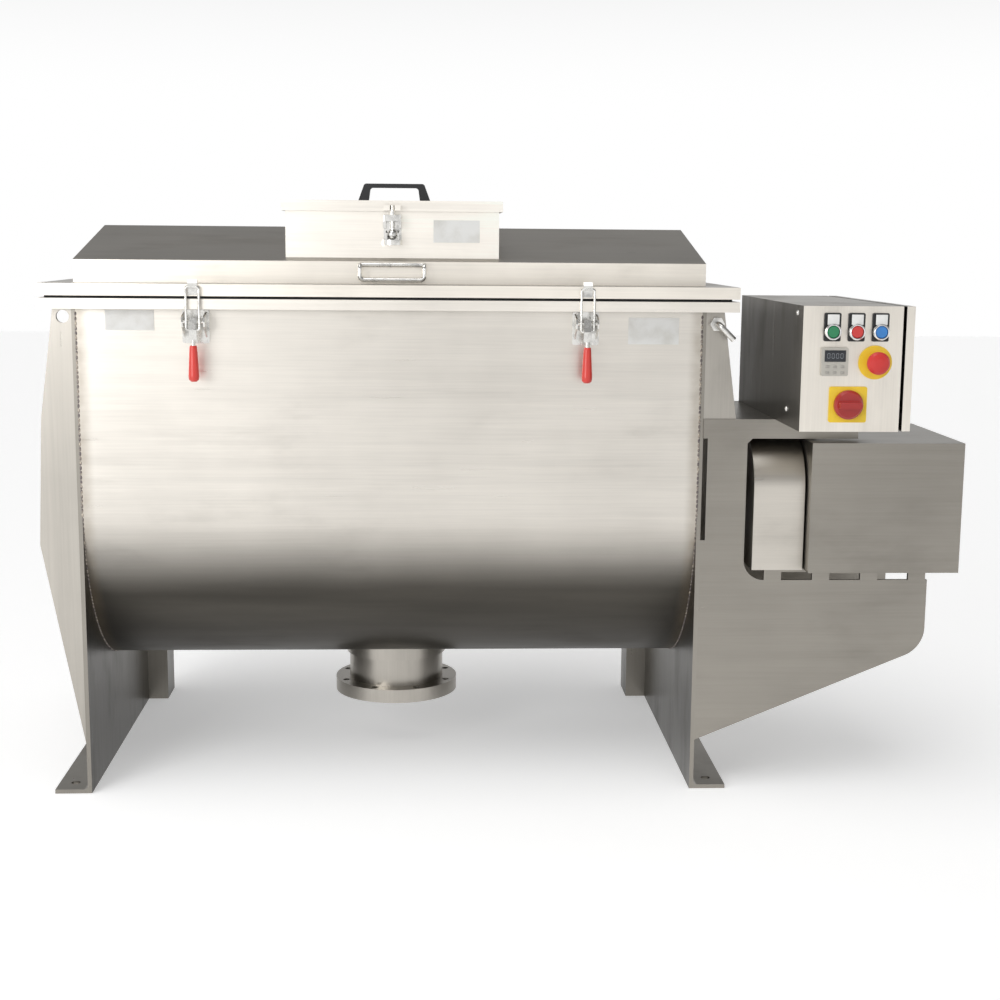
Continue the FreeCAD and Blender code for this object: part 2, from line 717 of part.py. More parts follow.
def shaft_bearings():
    pieces = []
    corner = size("bearing_flange")
    top = shaft_height + bearing_half
    bottom = shaft_height - bearing_half
    for side in (-1, 1):
        name = "bearing_left" if side < 0 else "bearing_right"
        square = rectangle(-bearing_half, bottom, bearing_half, top, corner)
        body = plate(name, "YZ", [square], low(side, bearing_seat, bearing_flange_face),
                     high(side, bearing_seat, bearing_flange_face))
        extrude(body, "Pad", "YZ", [("circle", 0, shaft_height, size("bearing_hub_radius"))],
                low(side, bearing_seat, bearing_end), high(side, bearing_seat, bearing_end))
        extrude(body, "Pocket", "YZ", [("circle", 0, shaft_height, size("journal_radius") + running_gap)],
                low(side, bearing_seat, bearing_end), high(side, bearing_seat, bearing_end))
        holes = [("circle", across, up, bolt_hole) for across, up in bearing_bolt_places()]
        extrude(body, "Pocket", "YZ", holes, low(side, bearing_seat, bearing_flange_face),
                high(side, bearing_seat, bearing_flange_face))
        pieces.append(body)
    return keep(joined("bearing_pair", pieces), "shaft_bearings")


def hexagon(across, up, radius):
    return [(across + radius * math.cos(math.radians(60 * i)), up + radius * math.sin(math.radians(60 * i)))
            for i in range(6)]


def bolt(name, side, head_from, tip, spot):
    """A hexagon head bolt along X, its head outwards."""
    radius = size("bearing_bolt_radius")
    head = head_from + radius * head_height_share
    outline = hexagon(spot[0], spot[1], radius * head_radius_share)
    body = plate(name, "YZ", [outline], low(side, head_from, head), high(side, head_from, head))
    extrude(body, "Pad", "YZ", [("circle", spot[0], spot[1], radius)], low(side, tip, head_from),
            high(side, tip, head_from))
    return body


def housing_bolts():
    pieces = []
    for side in (-1, 1):
        for index, spot in enumerate(bearing_bolt_places()):
            name = "bearing_bolt_%s_%d" % ("left" if side < 0 else "right", index)
            pieces.append(bolt(name, side, bearing_flange_face, bracket_back, spot))
        for index, spot in enumerate(seal_bolt_places()):
            name = "seal_bolt_%s_%d" % ("left" if side < 0 else "right", index)
            pieces.append(bolt(name, side, seal_face, half_length + clearance, spot))
    return keep(joined("bolts", pieces), "housing_bolts")


# ---------------------------------------------------------------- agitator

drive_x = plate_outer + size("drive_plane")
shaft_end = drive_x + size("sprocket_width") * 1.5
arm_count = 4
arm_step = (half_length - size("arm_first") - size("arm_last")) / (arm_count - 1)
ribbon_pitch = arm_step * 4
ribbon_length = half_length - size("ribbon_end_gap") - size("ribbon_start") - size("ribbon_thickness")
ribbon_lead = (size("arm_first") - size("ribbon_start") - size("ribbon_thickness") / 2) / ribbon_pitch * 360
hub_share = 1.6
hub_half = size("sprocket_width") * 1.4


def main_shaft():
    step = plate_outer + size("seal_length") + clearance * 10
    left_end = bearing_end + clearance * 20
    profile = [(0, -left_end), (size("journal_radius"), -left_end), (size("journal_radius"), -step),
               (size("shaft_radius"), -step), (size("shaft_radius"), step), (size("journal_radius"), step),
               (size("journal_radius"), shaft_end), (0, shaft_end)]
    body = turned("main_shaft", "x", (0, 0, shaft_height), profile)
    return keep(body, "main_shaft")


def ribbon(name, side, outer, width, hand, opposite):
    """One helical bar in one half of the trough, wound about the shaft axis."""
    body = new_body(name)
    sketch = new_sketch(body, "XZ")
    near = size("ribbon_start")
    thickness = size("ribbon_thickness")
    left = near if side > 0 else -near - thickness
    bottom = -outer if opposite else outer - width
    draw_outline(sketch, rectangle(left, bottom, left + thickness, bottom + width))
    helix = body.newObject("PartDesign::AdditiveHelix", name + "_helix")
    helix.Profile = sketch
    helix.ReferenceAxis = (sketch, ["H_Axis"])
    helix.Mode = 0
    helix.Pitch = number(ribbon_pitch)
    helix.Height = number(ribbon_length)
    helix.Angle = 0
    helix.Reversed = side < 0
    helix.LeftHanded = hand * side < 0
    bind(helix, "Pitch", ribbon_pitch)
    bind(helix, "Height", ribbon_length)
    return body


def turn_about_shaft(item, hand):
    """Turn a ribbon back so that it meets the first arm."""
    turn = FreeCAD.Rotation(FreeCAD.Vector(-hand, 0, 0), number(ribbon_lead))
    item.Placement = FreeCAD.Placement(FreeCAD.Vector(0, 0, number(shaft_height)), turn)
    bind(item, "Placement.Base.z", shaft_height)
    bind(item, "Placement.Rotation.Angle", ribbon_lead)


def ribbons(label, outer, width, hand):
    pieces = []
    for side in (-1, 1):
        for opposite in (False, True):
            name = "%s_%s_%s" % (label, "left" if side < 0 else "right", "b" if opposite else "a")
            item = ribbon(name, side, outer, width, hand, opposite)
            turn_about_shaft(item, hand)
            pieces.append(item)
    doc.recompute()
    return joined(label + "_set", pieces)


def ribbon_arms(bars):
    """Radial bars from the shaft, one pair at each station, a quarter turn on from the last."""
    pieces = []
    reach = size("ribbon_radius") - size("ribbon_width") + size("arm_overlap")
    for side in (-1, 1):
        for station in range(arm_count):
            across = (size("arm_first") + arm_step * station) * side
            for direction in ("z", "-z") if station % 2 == 0 else ("y", "-y"):
                arm = doc.addObject("Part::Cylinder", "arm")
                arm.Radius = number(size("arm_radius"))
                arm.Height = number(reach)
                bind(arm, "Radius", size("arm_radius"))
                bind(arm, "Height", reach)
                place(arm, direction, across, 0, shaft_height)
                pieces.append(arm)
    raw = joined("arm_bars", pieces)
    core = doc.addObject("Part::Cylinder", "shaft_core")
    core.Radius = number(size("shaft_radius"))
    core.Height = number(half_length * 2)
    bind(core, "Radius", size("shaft_radius"))
    bind(core, "Height", half_length * 2)
    place(core, "x", -half_length, 0, shaft_height)
    return keep(cut("arms", raw, joined("arm_cutters", [core] + bars)), "ribbon_arms")


# ---------------------------------------------------------------- chain drive

seat_share = 1.02
tip_share = 0.62
tooth_share = 0.28
plate_end_share = 0.85
plate_waist_share = 0.4


def sprocket_outline(teeth, pitch, roller):
    """Tooth outline of a roller chain sprocket: round seats joined by straight flanks."""
    pitch_radius = pitch / (2 * math.sin(math.pi / teeth))
    seat = roller * seat_share
    tip = pitch_radius + roller * tip_share
    half = math.pi / teeth
    step = math.radians(30)
    corner = seat / math.cos(step / 2)
    points = []
    for tooth in range(teeth):
        middle = 2 * math.pi * tooth / teeth
        for turn in (-2 * step, -step, 0, step, 2 * step):
            local = (pitch_radius - corner * math.cos(turn), corner * math.sin(turn))
            points.append(rotated(local, middle))
        for turn in (half * (1 - tooth_share), half * (1 + tooth_share)):
            points.append((tip * math.cos(middle + turn), tip * math.sin(middle + turn)))
    return points


def rotated(point, angle):
    cosine = math.cos(angle)
    sine = math.sin(angle)
    return (point[0] * cosine - point[1] * sine, point[0] * sine + point[1] * cosine)


def chain_layout():
    """Pitch radii, shaft distance and the chain's straight runs, from tooth and link counts."""
    pitch = number(size("chain_pitch"))
    large = pitch / (2 * math.sin(math.pi / number(size("driven_teeth"))))
    small = pitch / (2 * math.sin(math.pi / number(size("motor_teeth"))))
    length = pitch * number(size("chain_links"))
    wrap_large = pitch * number(size("driven_teeth")) / (2 * math.pi)
    wrap_small = pitch * number(size("motor_teeth")) / (2 * math.pi)
    distance = (length - math.pi * (large + small)) / 2
    for _ in range(20):
        lean = math.asin((large - small) / distance)
        straight = math.sqrt(distance ** 2 - (large - small) ** 2)
        around = wrap_large * (math.pi + 2 * lean) + wrap_small * (math.pi - 2 * lean)
        distance += (length - around - 2 * straight) / 2
    return large, small, wrap_large, wrap_small, distance, lean, straight


(pitch_large, pitch_small, wrap_large, wrap_small, motor_distance, chain_lean,
 chain_straight) = chain_layout()
motor_y = -motor_distance


def chain_point(travel):
    """Place and heading on the chain's loop, in Y and Z about the main shaft."""
    large_arc = wrap_large * (math.pi + 2 * chain_lean)
    small_arc = wrap_small * (math.pi - 2 * chain_lean)
    if travel < large_arc:
        angle = -math.pi / 2 - chain_lean + travel / wrap_large
        return pitch_large * math.cos(angle), pitch_large * math.sin(angle), angle + math.pi / 2
    travel -= large_arc
    top_angle = math.pi / 2 + chain_lean
    if travel < chain_straight:
        start = (pitch_large * math.cos(top_angle), pitch_large * math.sin(top_angle))
        heading = top_angle + math.pi / 2
        return start[0] + travel * math.cos(heading), start[1] + travel * math.sin(heading), heading
    travel -= chain_straight
    if travel < small_arc:
        angle = top_angle + travel / wrap_small
        return motor_y + pitch_small * math.cos(angle), pitch_small * math.sin(angle), angle + math.pi / 2
    travel -= small_arc
    angle = -math.pi / 2 - chain_lean
    start = (motor_y + pitch_small * math.cos(angle), pitch_small * math.sin(angle))
    heading = angle + math.pi / 2
    return start[0] + travel * math.cos(heading), start[1] + travel * math.sin(heading), heading


def drive_chain():
    pitch = number(size("chain_pitch"))
    links = int(number(size("chain_links")))
    inner = number(size("chain_inner_width")) / 2
    thick = number(size("chain_plate"))
    height = number(size("chain_plate_height")) / 2
    past = height * plate_end_share
    axis_z = number(shaft_height)
    centre_x = number(drive_x)
    phase = wrap_large * (math.pi / 2 + chain_lean)
    spots = []
    for index in range(links):
        place_y, place_z, _ = chain_point((phase + pitch * index) % (pitch * links))
        spots.append(FreeCAD.Vector(0, place_y, place_z + axis_z))
    solids = []
    for index, spot in enumerate(spots):
        after = spots[(index + 1) % links]
        outside = inner + (thick if index % 2 else 0)
        pin = Part.Circle(FreeCAD.Vector(centre_x - inner, spot.y, spot.z), FreeCAD.Vector(1, 0, 0),
                          number(size("roller_radius")))
        solids.append(Part.Face(Part.Wire(pin.toShape())).extrude(FreeCAD.Vector(2 * inner, 0, 0)))
        way = (after - spot).normalize()
        side_way = FreeCAD.Vector(0, -way.z, way.y)
        ends = [(-past, -plate_waist_share), (0, -1), (1, -1), (past + 1, -plate_waist_share),
                (past + 1, plate_waist_share), (1, 1), (0, 1), (-past, plate_waist_share)]
        for left in (centre_x - outside - thick, centre_x + outside):
            corners = []
            for forth, up in ends:
                if forth in (0, -past):
                    base = spot + way * forth
                else:
                    base = after + way * (forth - 1)
                corner = base + side_way * (up * height)
                corners.append(FreeCAD.Vector(left, corner.y, corner.z))
            face = Part.Face(Part.makePolygon(corners + corners[:1]))
            solids.append(face.extrude(FreeCAD.Vector(thick, 0, 0)))
    item = doc.addObject("Part::Feature", "chain")
    item.Shape = Part.makeCompound(solids)
    return keep(item, "drive_chain")


def sprocket(name, teeth, centre_y, bore, hub, turn):
    """A sprocket with a hub, its first gap turned to the chain's nearest roller."""
    pitch = number(size("chain_pitch"))
    outline = sprocket_outline(int(number(teeth)), pitch, number(size("roller_radius")))
    outline = [rotated(point, turn) for point in outline]
    width = number(size("sprocket_width"))
    reach = number(hub_half)
    near = number(drive_x) - width / 2
    axis_z = number(shaft_height)
    corners = [FreeCAD.Vector(near, centre_y + y, axis_z + z) for y, z in outline]
    wheel = Part.Face(Part.makePolygon(corners + corners[:1])).extrude(FreeCAD.Vector(width, 0, 0))
    axis = FreeCAD.Vector(number(drive_x) - reach, centre_y, axis_z)
    boss = Part.makeCylinder(number(hub), reach * 2, axis, FreeCAD.Vector(1, 0, 0))
    hole = Part.makeCylinder(number(bore), reach * 2, axis, FreeCAD.Vector(1, 0, 0))
    item = doc.addObject("Part::Feature", name)
    item.Shape = wheel.fuse(boss).cut(hole).removeSplitter()
    return item


def driven_sprocket():
    item = sprocket("driven_wheel", size("driven_teeth"), 0.0, size("journal_radius"),
                    size("journal_radius") * hub_share, 0.0)
    return keep(item, "driven_sprocket")


def motor_sprocket():
    small_start = wrap_large * (math.pi + 2 * chain_lean) + chain_straight
    pitch = number(size("chain_pitch"))
    phase = wrap_large * (math.pi / 2 + chain_lean)
    step = math.ceil((small_start - phase) / pitch)
    travel = phase + pitch * step - small_start
    turn = math.pi / 2 + chain_lean + travel / wrap_small
    item = sprocket("motor_wheel", size("motor_teeth"), motor_y, size("output_radius"),
                    size("output_radius") * hub_share, turn)
    return keep(item, "motor_sprocket")


def output_shaft():
    start = drive_x - hub_half
    length = reducer_left - start
    body = turned("reducer_output", "x", (start, motor_y, shaft_height),
                  [(0, 0), (size("output_radius"), 0), (size("output_radius"), length), (0, length)])
    return keep(body, "output_shaft")


# ---------------------------------------------------------------- drive bracket, guard and motor

guard_left = drive_x - size("guard_width") / 2 + 1
guard_right = guard_left + size("guard_width")
guard_cover_left = guard_right - size("guard_sheet")
cover_left = guard_right + size("cover_gap")
cover_right = cover_left + size("cover_length")
base_top = shaft_height - size("guard_radius")
base_blocks = 4
reducer_left = cover_left + size("cover_gap") * 2
motor_fins = 18
bore_share = 1.5
arm_top = shaft_height - size("arm_drop")
window_left = plate_outer + size("window_offset")
bracket_right = plate_outer + size("bracket_reach")
bracket_tip = shaft_height - size("bracket_tip_drop")
shelf_under = shelf_height - size("shelf_sheet")
shelf_right = plate_outer + size("shelf_reach")
shelf_lip_bottom = shelf_height - size("shelf_lip")
cover_front = -size("cover_depth") / 2 + motor_y
cover_back = size("cover_depth") / 2 + motor_y


def drive_bracket(label, end):
    """C-shaped plate: the lower arm carries the drive, the upper arm carries the control shelf."""
    chamfer = size("window_chamfer")
    slot_right = plate_outer + size("slot_width")
    slot_top = shaft_height + size("slot_rise")
    slot_bottom = shaft_height - size("slot_drop")
    corners = [(plate_outer, size("gusset_foot_height")),
               (bracket_right, bracket_tip, size("bracket_corner")), (bracket_right, arm_top),
               (window_left, arm_top, size("window_corner")),
               (window_left, shelf_lip_bottom - chamfer), (window_left + chamfer, shelf_lip_bottom),
               (shelf_right - chamfer, shelf_lip_bottom), (shelf_right - chamfer, shelf_under),
               (plate_outer, shelf_under), (plate_outer, slot_top), (slot_right, slot_top),
               (slot_right, slot_bottom), (plate_outer, slot_bottom)]
    body = plate(label, "XZ", [corners], end - plate_thickness, end)
    return keep(body, label)


def control_shelf():
    front = -shell_outer - size("shelf_sheet")
    back = -shell_outer - size("cabinet_overhang") + size("cabinet_depth")
    lip = -shell_outer
    profile = [(front, shelf_lip_bottom), (lip, shelf_lip_bottom), (lip, shelf_under), (back, shelf_under),
               (back, shelf_height), (front, shelf_height)]
    body = plate("shelf", "YZ", [profile], plate_outer, shelf_right)
    return keep(body, "control_shelf")


def motor_base():
    """A plate that stands on blocks along both bracket arms."""
    front = -shell_outer
    back = front + size("rear_bracket_depth")
    sheet_size = size("base_sheet")
    block = size("base_block")
    left = window_left + size("window_corner") + clearance
    right = bracket_right - sheet_size / 2
    body = plate("base", "XY", [rectangle(left, front, right, back)], base_top - sheet_size, base_top)
    gap = (right - left - block) / (base_blocks - 1)
    starts = [left + gap * index for index in range(base_blocks)]
    blocks = [rectangle(start, near, start + block, near + sheet_size)
              for start in starts for near in (front, back - sheet_size)]
    extrude(body, "Pad", "XY", blocks, arm_top, base_top - sheet_size)
    return keep(body, "motor_base")


def gear_reducer():
    """A round casting on a tapered foot."""
    nose = size("reducer_nose")
    widest = size("reducer_radius")
    length = size("reducer_length")
    body = turned("reducer", "x", (reducer_left, motor_y, shaft_height),
                  [(0, 0), (nose, 0), (nose + 7, 12), (widest - 24, 20), (widest, 30), (widest, length - 10),
                   (widest - 16, length), (0, length)])
    half = size("reducer_foot") / 2
    neck = half - 35
    sole = base_top + 14
    top = base_top + 40
    outline = [(motor_y - half, base_top), (motor_y + half, base_top), (motor_y + half, sole),
               (motor_y + neck, top), (motor_y - neck, top), (motor_y - half, sole)]
    foot = plate("reducer_foot", "YZ", [outline], reducer_left + 32, reducer_left + 72)
    return keep(joined("reducer_casting", [body, foot]), "gear_reducer")


def drive_motor():
    """A flanged motor with cooling fins and a fan cowl."""
    flange = size("motor_flange")
    frame_radius = size("motor_frame")
    cowl = size("motor_cowl")
    length = size("motor_length")
    fins_start = size("motor_flange_depth")
    fins_end = length - size("motor_cowl_depth")
    body = turned("motor", "x", (reducer_left + size("reducer_length"), motor_y, shaft_height),
                  [(0, 0), (flange, 0), (flange, fins_start - 6), (frame_radius, fins_start),
                   (frame_radius, fins_end), (cowl, fins_end + 4), (cowl, length - 8), (cowl - 6, length),
                   (0, length)])
    half = size("motor_fin") / 2
    outline = rectangle(frame_radius - 4, -half, cowl - 2, half)
    fin = extrude(body, "Pad", "XY", [outline], fins_start, fins_end)
    pattern(body, fin, "Z_Axis", motor_fins)
    return keep(body, "drive_motor")


def motor_cover():
    top = base_top + size("cover_height")
    sheet_size = size("guard_sheet")
    body = plate("cover", "XY", [rectangle(cover_left, cover_front, cover_right, cover_back)], base_top, top)
    inner = rectangle(cover_left + sheet_size, cover_front + sheet_size, cover_right - sheet_size,
                      cover_back - sheet_size)
    extrude(body, "Pocket", "XY", [inner], base_top, top - sheet_size)
    hole = ("circle", motor_y, shaft_height, size("output_radius") * bore_share)
    extrude(body, "Pocket", "YZ", [hole], cover_left, cover_left + sheet_size)
    return keep(body, "motor_cover")


def guard_outline(inset):
    """Side view of the chain guard: round at the back, one round corner at the front."""
    radius = number(size("guard_radius")) - inset
    front = motor_y - number(size("guard_front")) + inset
    corner = number(size("guard_corner")) - inset
    axis = number(shaft_height)
    top = axis + radius
    bottom = axis - radius
    turn = math.sqrt(0.5)
    point = FreeCAD.Vector
    arc_end = point(0, front + corner, top)
    arc_start = point(0, front, top - corner)
    arc_middle = point(0, front + corner * (1 - turn), top - corner * (1 - turn))
    edges = [
        Part.LineSegment(point(0, 0, top), arc_end).toShape(),
        Part.Arc(arc_end, arc_middle, arc_start).toShape(),
        Part.LineSegment(arc_start, point(0, front, bottom)).toShape(),
        Part.LineSegment(point(0, front, bottom), point(0, 0, bottom)).toShape(),
        Part.Arc(point(0, 0, bottom), point(0, radius, axis), point(0, 0, top)).toShape(),
    ]
    return Part.Face(Part.Wire(edges))


def guard_slab(inset, left, right):
    face = guard_outline(inset)
    face.translate(FreeCAD.Vector(number(left), 0, 0))
    return face.extrude(FreeCAD.Vector(number(right) - number(left), 0, 0))


def chain_guard():
    wall = number(size("guard_sheet"))
    shell = guard_slab(0, guard_left, guard_cover_left)
    inside = guard_slab(wall, guard_left + wall, guard_cover_left)
    along_x = FreeCAD.Vector(1, 0, 0)
    shaft = Part.makeCylinder(number(size("journal_radius") + shell_wall), wall * 2,
                              FreeCAD.Vector(number(guard_left) - wall / 2, 0, number(shaft_height)), along_x)
    item = doc.addObject("Part::Feature", "guard")
    item.Shape = shell.cut(inside).cut(shaft)
    keep(item, "chain_guard")
    lid = guard_slab(0, guard_cover_left, guard_right)
    hole_start = FreeCAD.Vector(number(guard_cover_left) - wall / 2, motor_y, number(shaft_height))
    hole = Part.makeCylinder(number(size("output_radius")) * bore_share, wall * 2, hole_start, along_x)
    side = doc.addObject("Part::Feature", "guard_side")
    side.Shape = lid.cut(hole)
    return keep(side, "chain_guard_cover")


# ---------------------------------------------------------------- lid

lid_bottom = rim_height + size("lid_gap")
lid_top = lid_bottom + size("lid_rim")
lid_sheet = size("lid_sheet")
dome_x = rim_half_x - size("dome_inset")
dome_y = rim_half_y - size("dome_setback")
dome_wall_top = lid_top + size("dome_wall")
ridge = dome_wall_top + size("ridge_rise")
hinge_y = rim_half_y + size("hinge_offset")
hinge_z = rim_height + clearance * 10
slope_share = 1.02


def frame_loop(half_x, half_y):
    return rectangle(-half_x, -half_y, half_x, half_y)


def gable(inset):
    """End view of the dome, offset inwards by one sheet when inset is that sheet."""
    drop = inset * slope_share
    wall = dome_y - inset
    return [(-wall, lid_top), (-wall, dome_wall_top - drop), (0, ridge - drop), (wall, dome_wall_top - drop),
            (wall, lid_top)]


def lid_panel():
    ring = [frame_loop(rim_half_x, rim_half_y), frame_loop(dome_x - lid_sheet, dome_y - lid_sheet)]
    body = plate("lid", "XY", ring, lid_bottom, lid_top)
    seal_x = rim_half_x - size("seal_inset")
    seal_y = rim_half_y - size("seal_inset")
    half_seal = size("seal_width") / 2 + clearance
    steps = [half_seal + lid_sheet, half_seal, -half_seal, -half_seal - lid_sheet]
    loops = [frame_loop(rim_half_x - lid_sheet, rim_half_y - lid_sheet)]
    loops += [frame_loop(seal_x + step, seal_y + step) for step in steps]
    extrude(body, "Pocket", "XY", loops, lid_bottom, lid_top - lid_sheet)
    extrude(body, "Pad", "YZ", [gable(zero)], -dome_x, dome_x)
    extrude(body, "Pocket", "YZ", [gable(lid_sheet)], lid_sheet - dome_x, dome_x - lid_sheet)
    edge = lid_sheet * 2
    inner_x = size("hatch_half") - edge
    opening = rectangle(-inner_x, edge - size("hatch_front"), inner_x, size("hatch_back") - edge)
    extrude(body, "Pocket", "XY", [opening], lid_top + lid_sheet, ridge + lid_sheet)
    return keep(body, "lid_panel")


def lid_gasket():
    seal_x = rim_half_x - size("seal_inset")
    seal_y = rim_half_y - size("seal_inset")
    half_seal = size("seal_width") / 2
    loops = [frame_loop(seal_x + step, seal_y + step) for step in (half_seal, -half_seal)]
    body = plate("seal_ring", "XY", loops, rim_height + clearance, lid_top - lid_sheet)
    return keep(body, "lid_gasket")


def lid_handle():
    half = size("lid_handle_width") / 2
    rod = size("lid_handle_rod")
    bar_low = lid_top + rod
    bar_high = bar_low + size("lid_handle_height")
    stand = -dome_y - size("lid_handle_stand")
    points = [(-half, -dome_y, bar_high), (-half, stand, bar_high), (-half, stand, bar_low),
              (half, stand, bar_low), (half, stand, bar_high), (half, -dome_y, bar_high)]
    loop = bent_rod("lid_handle_rod", points, rod, rod)
    bar = doc.addObject("Part::Cylinder", "lid_handle_bar")
    bar.Radius = number(rod) / 2
    bar.Height = number(half * 2)
    bind(bar, "Radius", rod / 2)
    bind(bar, "Height", half * 2)
    place(bar, "x", -half, stand + rod, bar_high)
    return keep(joined("lid_handle_loop", [loop, bar]), "lid_handle")


def hinge_places():
    return [-size("hinge_spread"), size("hinge_spread")]


def lid_hinge_ears():
    """Ears and pins welded to the back of the trough rim."""
    pieces = []
    sheet_size = 6
    near = size("hinge_length") / 2 + clearance
    far = near + sheet_size
    outline = [(rim_half_y, rim_bottom), (rim_half_y, rim_height), (hinge_y - 6, hinge_z + 9),
               (hinge_y + 8, hinge_z + 7), (hinge_y + 10, hinge_z - 4), (hinge_y - 2, rim_bottom)]
    pin = ("circle", hinge_y, hinge_z, size("hinge_pin"))
    for side, middle in zip((-1, 1), hinge_places()):
        body = plate("ear_left" if side < 0 else "ear_right", "YZ", [outline], middle + near, middle + far)
        extrude(body, "Pad", "YZ", [outline], middle - far, middle - near)
        extrude(body, "Pad", "YZ", [pin], middle - far, middle + far)
        pieces.append(body)
    return keep(joined("ears", pieces), "lid_hinge_ears")


def lid_hinge_leaves():
    """Barrels that turn on the pins, each with a strap to the lid's back edge."""
    pieces = []
    half = size("hinge_length") / 2
    barrel = size("hinge_barrel")
    strap_sheet = 8
    strap = rectangle(rim_half_y, hinge_z + barrel - strap_sheet, hinge_y, hinge_z + barrel)
    for side, middle in zip((-1, 1), hinge_places()):
        name = "leaf_left" if side < 0 else "leaf_right"
        body = plate(name, "YZ", [strap], middle - half, middle + half)
        extrude(body, "Pad", "YZ", [("circle", hinge_y, hinge_z, barrel)], middle - half, middle + half)
        extrude(body, "Pocket", "YZ", [("circle", hinge_y, hinge_z, size("hinge_pin") + running_gap)],
                middle - half, middle + half)
        pieces.append(body)
    return keep(joined("leaves", pieces), "lid_hinge_leaves")


# ---------------------------------------------------------------- feed hatch

hatch_half = size("hatch_half")
hatch_top = ridge + size("hatch_stand")
skirt_out = size("skirt_gap") + lid_sheet
cover_under = hatch_top + size("hatch_seal")
cover_top = cover_under + lid_sheet
skirt_bottom = cover_top - size("hatch_skirt")
hatch_middle = (size("hatch_back") - size("hatch_front")) / 2
hatch_barrel = 8
hatch_pin = 4
hatch_hinge_y = size("hatch_back") + skirt_out + hatch_barrel + 2
hatch_hinge_z = hatch_top - 4
hatch_hinge_half = 15
hatch_ear = 5
lug_top = cover_top - 9
lug_half = 16
lug_depth = 20
lug_sheet = 10
latch_rod = 4
latch_y = -size("hatch_front") - skirt_out - 12


def hatch_rectangle(out):
    across = hatch_half + out
    return rectangle(-across, -size("hatch_front") - out, across, size("hatch_back") + out)


def hatch_curb():
    """The square neck on the dome, with the hatch hinge ears on its back wall."""
    body = plate("curb", "XY", [hatch_rectangle(zero), hatch_rectangle(-lid_sheet)], lid_top, hatch_top)
    extrude(body, "Pocket", "YZ", [gable(zero)], -hatch_half, hatch_half)
    wall = size("hatch_back")
    foot = skirt_bottom - 22
    shoulder = skirt_bottom - 4
    rise = hatch_hinge_y - 7
    outline = [(wall, foot), (wall, shoulder), (rise, shoulder), (rise, hatch_hinge_z + 4),
               (hatch_hinge_y + 5, hatch_hinge_z + 6), (hatch_hinge_y + 7, hatch_hinge_z - 6),
               (hatch_hinge_y - 4, foot)]
    near = hatch_hinge_half + clearance
    far = near + hatch_ear
    pin = ("circle", hatch_hinge_y, hatch_hinge_z, hatch_pin)
    for middle in (-size("hatch_hinge_spread"), size("hatch_hinge_spread")):
        extrude(body, "Pad", "YZ", [outline], middle + near, middle + far)
        extrude(body, "Pad", "YZ", [outline], middle - far, middle - near)
        extrude(body, "Pad", "YZ", [pin], middle - far, middle + far)
    return keep(body, "hatch_curb")


def hatch_cover():
    """Tray cover with a slotted lug for the latch in front and hinge barrels behind."""
    body = plate("hatch", "XY", [hatch_rectangle(skirt_out)], skirt_bottom, cover_top)
    extrude(body, "Pocket", "XY", [hatch_rectangle(size("skirt_gap"))], skirt_bottom, cover_under)
    front = -size("hatch_front") - skirt_out
    tip = front - lug_depth
    slot = latch_rod + 0.5
    slot_back = latch_y + slot
    lug = [(-lug_half, front), (-lug_half, tip), (-slot, tip), (-slot, slot_back), (slot, slot_back),
           (slot, tip), (lug_half, tip), (lug_half, front)]
    extrude(body, "Pad", "XY", [lug], lug_top - lug_sheet, lug_top)
    strap = rectangle(size("hatch_back") + skirt_out, hatch_hinge_z + 3, hatch_hinge_y,
                      hatch_hinge_z + hatch_barrel)
    bore = ("circle", hatch_hinge_y, hatch_hinge_z, hatch_pin + running_gap)
    for middle in (-size("hatch_hinge_spread"), size("hatch_hinge_spread")):
        left = middle - hatch_hinge_half
        right = middle + hatch_hinge_half
        extrude(body, "Pad", "YZ", [strap], left, right)
        extrude(body, "Pad", "YZ", [("circle", hatch_hinge_y, hatch_hinge_z, hatch_barrel)], left, right)
        extrude(body, "Pocket", "YZ", [bore], left, right)
    return keep(body, "hatch_cover")


def hatch_gasket():
    body = plate("hatch_seal_ring", "XY", [hatch_rectangle(lid_sheet), hatch_rectangle(-lid_sheet * 3)],
                 hatch_top + clearance, cover_under)
    return keep(body, "hatch_gasket")


def hatch_handle():
    half = size("grip_handle_width") / 2
    height = size("grip_handle_height")
    foot = 22
    lean = 14
    top = cover_top + height
    under = top - size("grip_handle_bar")
    outline = [(-half, cover_top), (-half + foot, cover_top), (-half + foot + 4, under, 6),
               (half - foot - 4, under, 6), (half - foot, cover_top), (half, cover_top),
               (half - lean, top, 6), (-half + lean, top, 6)]
    body = plate("grip_handle", "XZ", [outline], hatch_middle - foot / 2, hatch_middle + foot / 2)
    return keep(body, "hatch_handle")


latch_z = hatch_top - 55.5
latch_pin = 3
latch_ball = 9.5
latch_foot_top = latch_z - latch_ball - clearance
latch_foot_bottom = latch_foot_top - 9.7
latch_half = 17
cheek_rise = 11.5
cheek_height = 13
block_height = 12


